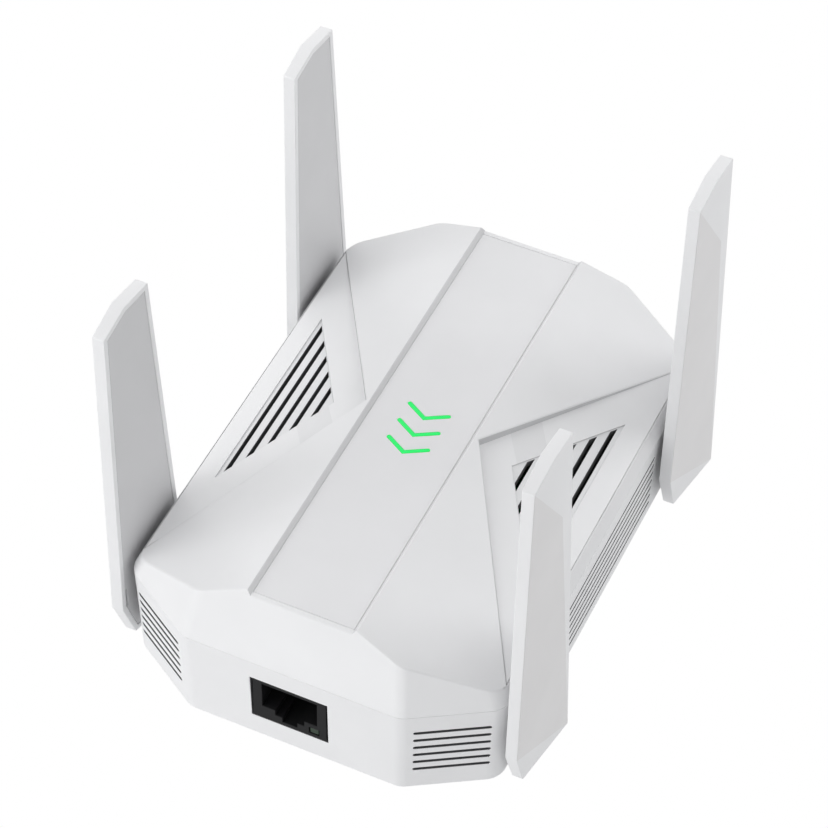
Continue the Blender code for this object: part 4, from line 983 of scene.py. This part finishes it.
# ---------------------------------------------------------------- network jack
def make_jack():
    low = (JACK_X - JACK_WIDTH / 2, JACK_FACE_Y, JACK_TOP_Z - JACK_HEIGHT)
    high = (JACK_X + JACK_WIDTH / 2, JACK_FACE_Y + JACK_LENGTH, JACK_TOP_Z)
    body = shape(add_box, low, high)
    front, back = JACK_FACE_Y - MM, JACK_FACE_Y + 13.5 * MM
    roof = JACK_TOP_Z - 1.0 * MM
    half = 5.9 * MM
    shoulder = roof - 6.9 * MM
    latch, key = 3.1 * MM, 1.6 * MM
    ledge = shoulder - 1.5 * MM
    sill = ledge - 1.4 * MM
    outline = [
        (roof, JACK_X - half), (shoulder, JACK_X - half), (shoulder, JACK_X - latch),
        (ledge, JACK_X - latch), (ledge, JACK_X - key), (sill, JACK_X - key),
        (sill, JACK_X + key), (ledge, JACK_X + key), (ledge, JACK_X + latch),
        (shoulder, JACK_X + latch), (shoulder, JACK_X + half), (roof, JACK_X + half),
    ]
    cavity = shape(add_prism, outline, front, back, axis="Y")
    gap = GAP / 2
    lamp = (JACK_X + 4.3 * MM, JACK_FACE_Y, sill + 0.1 * MM)
    size = (1.9 * MM, 1.5 * MM)
    window = shape(
        add_box,
        (lamp[0] - gap, front, lamp[2] - gap),
        (lamp[0] + size[0] + gap, JACK_FACE_Y + 4 * MM, lamp[2] + size[1] + gap),
    )
    mesh = carve("jack_body", body, [cavity, window])

    def rule(middle, angle, edge):
        return 0.12 * MM if middle.y < JACK_FACE_Y + 0.1 * MM else 0.0

    piece(
        "jack_body", mesh, BLACK, "case", ["rj45_jack"],
        width=0.12 * MM, rule=rule,
    )
    lens = shape(
        add_box,
        (lamp[0], JACK_FACE_Y + gap, lamp[2]),
        (lamp[0] + size[0], JACK_FACE_Y + 3.8 * MM, lamp[2] + size[1]),
    )
    piece(
        "jack_lamp", carve("lamp", lens), LAMP_GREEN, "case", ["rj45_lamp_lens"],
        width=0.2 * MM, segments=3,
    )


# ---------------------------------------------------------------- antennas
def inset_outline(points, border):
    """An anticlockwise outline moved inwards by the border."""
    moved = []
    count = len(points)
    for i in range(count):
        before, here, after = (Vector(points[(i + k) % count]) for k in (-1, 0, 1))
        first = (here - before).normalized()
        second = (after - here).normalized()
        one = Vector((-first.y, first.x))
        two = Vector((-second.y, second.x))
        bisector = (one + two).normalized()
        moved.append(here + bisector * (border / bisector.dot(one)))
    return [(p.x, p.y) for p in moved]


def inside_outline(point, outline):
    """True for a point within a convex outline listed anticlockwise."""
    ends = outline[1:] + outline[:1]
    return all((end - at).cross(point - at) > 0 for at, end in zip(outline, ends))


def blade_body(side):
    """A flat inner face, and an outer one whose facets meet at one raised point."""
    bm = bmesh.new()
    inner = [bm.verts.new((side * BLADE_INNER_X, y, z)) for y, z in BLADE_OUTLINE]
    outer = [bm.verts.new((side * x, y, z)) for x, (y, z) in zip(BLADE_RIM_X, BLADE_OUTLINE)]
    count = len(BLADE_OUTLINE)
    bm.faces.new(inner)
    for i in range(count):
        j = (i + 1) % count
        bm.faces.new((inner[i], inner[j], outer[j], outer[i]))
    heel, toe, tail, peak, tip, shoulder = outer
    x, y, z = BLADE_CREST
    crest = bm.verts.new((side * x, y, z))
    main = ((shoulder, heel, crest), (heel, tail, crest))
    edges = ((heel, toe, tail), (tail, peak, crest))
    top = ((peak, tip, crest), (tip, shoulder, crest))
    for face in main + edges + top:
        bm.faces.new(face)
    return bm


def make_antenna(name, side, y):
    place = Matrix.Translation((0, y, HINGE_Z))

    def plate(outline, low, high):
        x = sorted((side * low, side * high))
        return shape(add_prism, outline, x[0], x[1], axis="X")

    floor_x = BLADE_INNER_X + 1.9 * MM
    pocket = plate(inset_outline(BLADE_OUTLINE, PANEL_BORDER), BLADE_INNER_X - MM, floor_x)
    mesh = carve(name, blade_body(side), [pocket])
    mesh.transform(place)

    def shell_rule(middle, angle, edge):
        x = abs(middle.x)
        if angle < 25:
            return 0.0
        if x > min(BLADE_RIM_X) - 0.05 * MM:
            return 0.2 * MM
        if x < BLADE_INNER_X + 0.05 * MM:
            return 0.15 * MM
        depth = [abs(v.co.x) for v in edge.verts]
        full = max(depth) > floor_x + 0.2 * MM and min(depth) < BLADE_INNER_X + 0.05 * MM
        return 0.3 * MM if full else 0.0

    # the main outer facet takes the greyer white, a painted shade; the rest stays plain white
    def shell_finish_and_shade(middle, normal):
        heel, tail, shoulder = (Vector(BLADE_OUTLINE[i]) for i in (0, 2, 5))
        main = (heel, tail, Vector(BLADE_CREST[1:]), shoulder)
        outer = abs(middle.x) > BLADE_RIM_X[0] and side * normal.x > 0.9
        within = inside_outline(Vector((middle.y - y, middle.z - HINGE_Z)), main)
        return BLADE_FACET_PAINTED_SHADE if outer and within else WHITE

    piece(
        f"{name}_blade", mesh, WHITE, name, [f"{name}_shell"],
        width=0.3 * MM, rule=shell_rule, segments=3, finish_and_shade=shell_finish_and_shade, crisp=True,
    )

    panel_x = (BLADE_INNER_X + 0.1 * MM, BLADE_INNER_X + 1.0 * MM)
    panel = plate(inset_outline(BLADE_OUTLINE, PANEL_BORDER + 0.12 * MM), *panel_x)
    bore = shape(add_rod, (side * 40 * MM, 0, 0), (side * 45 * MM, 0, 0), 3.3 * MM, 48)
    notch_x = sorted((side * 40 * MM, side * (BLADE_INNER_X + 0.8 * MM)))
    notch = shape(
        add_box, (notch_x[0], -10.0 * MM, -1.3 * MM), (notch_x[1], -9.4 * MM, 4.1 * MM)
    )
    mesh = carve(name, panel, [bore, notch])
    mesh.transform(place)
    near = BLADE_INNER_X + 0.15 * MM
    piece(
        f"{name}_inner_panel", mesh, PANEL_GREY, name, [f"{name}_panel"],
        width=0.12 * MM, rule=lambda m, a, e: 0.1 * MM if abs(m.x) < near else 0.0,
    )

    hub = [(35.4, 4.2), (35.6, 4.4), (36.3, 4.4), (36.3, 3.5), (37.4, 3.5), (37.4, 4.4)]
    hub += [(40.45, 4.4), (40.45, 6.2), (40.6, 6.4), (40.9, 6.4), (41.05, 6.2), (41.05, 3.0)]
    hub += [(42.7, 3.0), (42.7, 1.8), (35.4, 1.8)]
    bm = turned([(x * MM, r * MM) for x, r in hub], side)
    mesh = carve(name, bm)
    mesh.transform(place)
    piece(f"{name}_hub", mesh, WHITE, name, [f"{name}_pivot"])


# ---------------------------------------------------------------- button
def make_button():
    half_x, half_z = BUTTON_SIZE[0] / 2, BUTTON_SIZE[1] / 2
    y = BUTTON_Y
    low, high = BUTTON_Z - half_z, BUTTON_Z + half_z
    cap = shape(add_box, (-half_x, y - 0.9 * MM, low), (half_x, y + 2.8 * MM, high))
    wide = half_x + MM
    rim = shape(add_box, (-wide, y - 1.2 * MM, low - MM), (wide, y - 0.1 * MM, high + MM))
    mesh = carve("button_cap", cap, joins=[rim])

    def rule(middle, angle, edge):
        return 0.35 * MM if middle.y > y + 0.5 * MM else 0.1 * MM

    piece(
        "button_cap", mesh, WHITE, "pairing_button", ["pairing_button"],
        width=0.35 * MM, rule=rule, segments=4,
    )


# ---------------------------------------------------------------- make everything
make_front_cover()
make_strip()
make_lenses()
make_rear_housing()
make_plug()
make_jack()
make_button()
for row_name, hinge_y in (("lower", -HINGE_Y), ("upper", HINGE_Y)):
    for hand, sign in (("left", -1), ("right", 1)):
        make_antenna(f"antenna_{row_name}_{hand}", sign, hinge_y)

# the pieces inside keep their solids and take these surfaces
INSIDE = {
    "light_shroud": INNER_BLACK, "status_leds": CERAMIC, "main_board": BOARD,
    "rj45_contacts": GOLD, "radio_shield": TIN, "processor_shield": TIN,
    "heat_sink": ALUMINIUM, "power_board": BOARD, "transformer_core": FERRITE,
    "transformer_winding": TAPE, "bulk_capacitor": SLEEVE, "output_capacitor": SLEEVE,
    "fuse_resistor": CERAMIC, "rectifier": INNER_BLACK, "power_header": INNER_BLACK,
    "pairing_switch": INNER_BLACK, "prong_contact_left": BRASS, "prong_contact_right": BRASS,
}
for node_name, node_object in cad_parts.items():
    surface = INSIDE.get(node_name)
    if "_screw_" in node_name or node_name.endswith("_ring"):
        surface = STEEL
    elif node_name.endswith("_radiator"):
        surface = COPPER
    elif node_name.endswith("_coax"):
        surface = COAX
    if surface is not None:
        for material_slot in node_object.material_slots:
            material_slot.material = surface


# ---------------------------------------------------------------- floor, light and camera
FILL_STRENGTH = 0.25
# direction it shines from (case lying on its back), strength
SKY = (
    ((0.0, 0.0, -1.0), 0.60),
    ((0.0, 1.0, 0.0), 0.35),
)
LIGHT_DISTANCE = 0.6
LIGHT_SIZE = 0.5
FLOOR_Z = -0.62
# name, direction it shines from (case lying on its back), power in W
LIGHTS = (
    ("far", (0.0, 1.0, 0.4), 0.19),
    ("port_left", (-0.7, -0.7, 0.4), 1.09),
    ("far_left", (-0.7, 0.7, 0.6), 0.60),
    ("far_right", (0.7, 0.7, 0.6), 0.87),
    ("low_port", (0.0, -1.0, -0.25), 0.50),
    ("high_far_right", (0.5, 0.7, 0.9), 0.13),
    ("high_left", (-0.7, -0.1, 0.9), 0.66),
    ("high_right", (0.7, 0.1, 0.9), 0.30),
)


def make_floor():
    mat, tree, shader = shader_tree("studio_floor")
    coords = object_coords(tree)
    cloud = noise(tree, coords, 1.5, 2.0)
    tint = ramp(tree, cloud, [(0.3, (0.90, 0.90, 0.90)), (0.7, (0.93, 0.93, 0.93))])
    tree.links.new(tint, shader.inputs["Base Color"])
    shader.inputs["Roughness"].default_value = 0.9
    bm = bmesh.new()
    bmesh.ops.create_circle(bm, cap_ends=True, segments=96, radius=6.0)
    mesh = bpy.data.meshes.new("floor")
    bm.to_mesh(mesh)
    bm.free()
    mesh.materials.append(mat)
    floor = bpy.data.objects.new("floor", mesh)
    floor.location = (0, 0, FLOOR_Z)
    bpy.context.scene.collection.objects.link(floor)


def add_area(name, at, toward, size, power):
    data = bpy.data.lights.new(name, "AREA")
    data.shape = "DISK"
    data.size = size
    data.energy = power
    lamp = bpy.data.objects.new(name, data)
    lamp.location = at
    lamp.rotation_euler = (Vector(at) - Vector(toward)).to_track_quat("Z", "Y").to_euler()
    lamp.visible_camera = False
    bpy.context.scene.collection.objects.link(lamp)


def sky_strength(tree):
    """An even fill, stronger towards each of the SKY directions."""
    direction = tree.nodes.new("ShaderNodeTexCoord").outputs["Generated"]
    total = None
    for toward, strength in SKY:
        dot = tree.nodes.new("ShaderNodeVectorMath")
        dot.operation = "DOT_PRODUCT"
        dot.inputs[1].default_value = STAND.to_3x3() @ Vector(toward).normalized()
        tree.links.new(direction, dot.inputs[0])
        lobe = tree.nodes.new("ShaderNodeMath")
        lobe.operation = "MAXIMUM"
        lobe.inputs[1].default_value = 0.0
        tree.links.new(dot.outputs["Value"], lobe.inputs[0])
        add = tree.nodes.new("ShaderNodeMath")
        add.operation = "MULTIPLY_ADD"
        add.inputs[1].default_value = strength
        add.inputs[2].default_value = FILL_STRENGTH
        tree.links.new(lobe.outputs[0], add.inputs[0])
        if total is not None:
            tree.links.new(total, add.inputs[2])
        total = add.outputs[0]
    return total


def make_light():
    """A plain white backdrop, a dimmer sky that lights the object, and soft disk lights."""
    world = bpy.data.worlds.new("studio")
    bpy.context.scene.world = world
    world.use_nodes = True
    tree = world.node_tree
    tree.nodes.clear()
    out = tree.nodes.new("ShaderNodeOutputWorld")
    mix = tree.nodes.new("ShaderNodeMixShader")
    path = tree.nodes.new("ShaderNodeLightPath")
    fill = tree.nodes.new("ShaderNodeBackground")
    fill.inputs["Color"].default_value = (0.985, 0.99, 1.0, 1.0)
    tree.links.new(sky_strength(tree), fill.inputs["Strength"])
    back = tree.nodes.new("ShaderNodeBackground")
    back.inputs["Color"].default_value = (1, 1, 1, 1)
    back.inputs["Strength"].default_value = 1.0
    tree.links.new(path.outputs["Is Camera Ray"], mix.inputs[0])
    tree.links.new(fill.outputs[0], mix.inputs[1])
    tree.links.new(back.outputs[0], mix.inputs[2])
    tree.links.new(mix.outputs[0], out.inputs["Surface"])
    for name, direction, power in LIGHTS:
        at = STAND @ (Vector(direction).normalized() * LIGHT_DISTANCE)
        add_area(name, at, STAND @ Vector((0, 0, 0)), LIGHT_SIZE, power)


def make_camera():
    azimuth, elevation, roll = (math.radians(v) for v in (24.217, 47.983, 1.038))
    aim = Vector((-7.346 * MM, 12.297 * MM, 0))
    distance, focal_pixels, frame_pixels = 681.75 * MM, 3347.9, 828
    back = Vector((
        math.sin(azimuth) * math.cos(elevation),
        -math.cos(azimuth) * math.cos(elevation),
        math.sin(elevation),
    ))
    right = Vector((math.cos(azimuth), math.sin(azimuth), 0))
    up = back.cross(right)
    across = right * math.cos(roll) + up * math.sin(roll)
    upward = up * math.cos(roll) - right * math.sin(roll)
    turn = Matrix((across, upward, back)).transposed().to_4x4()
    data = bpy.data.cameras.new("camera")
    data.sensor_width = 36
    data.lens = focal_pixels / frame_pixels * data.sensor_width
    data.clip_start = 0.01
    data.clip_end = 50
    camera = bpy.data.objects.new("camera", data)
    camera.matrix_world = STAND @ Matrix.Translation(aim + back * distance) @ turn
    bpy.context.scene.collection.objects.link(camera)
    bpy.context.scene.camera = camera


make_floor()
make_light()
make_camera()
bpy.context.scene.view_settings.view_transform = "Standard"
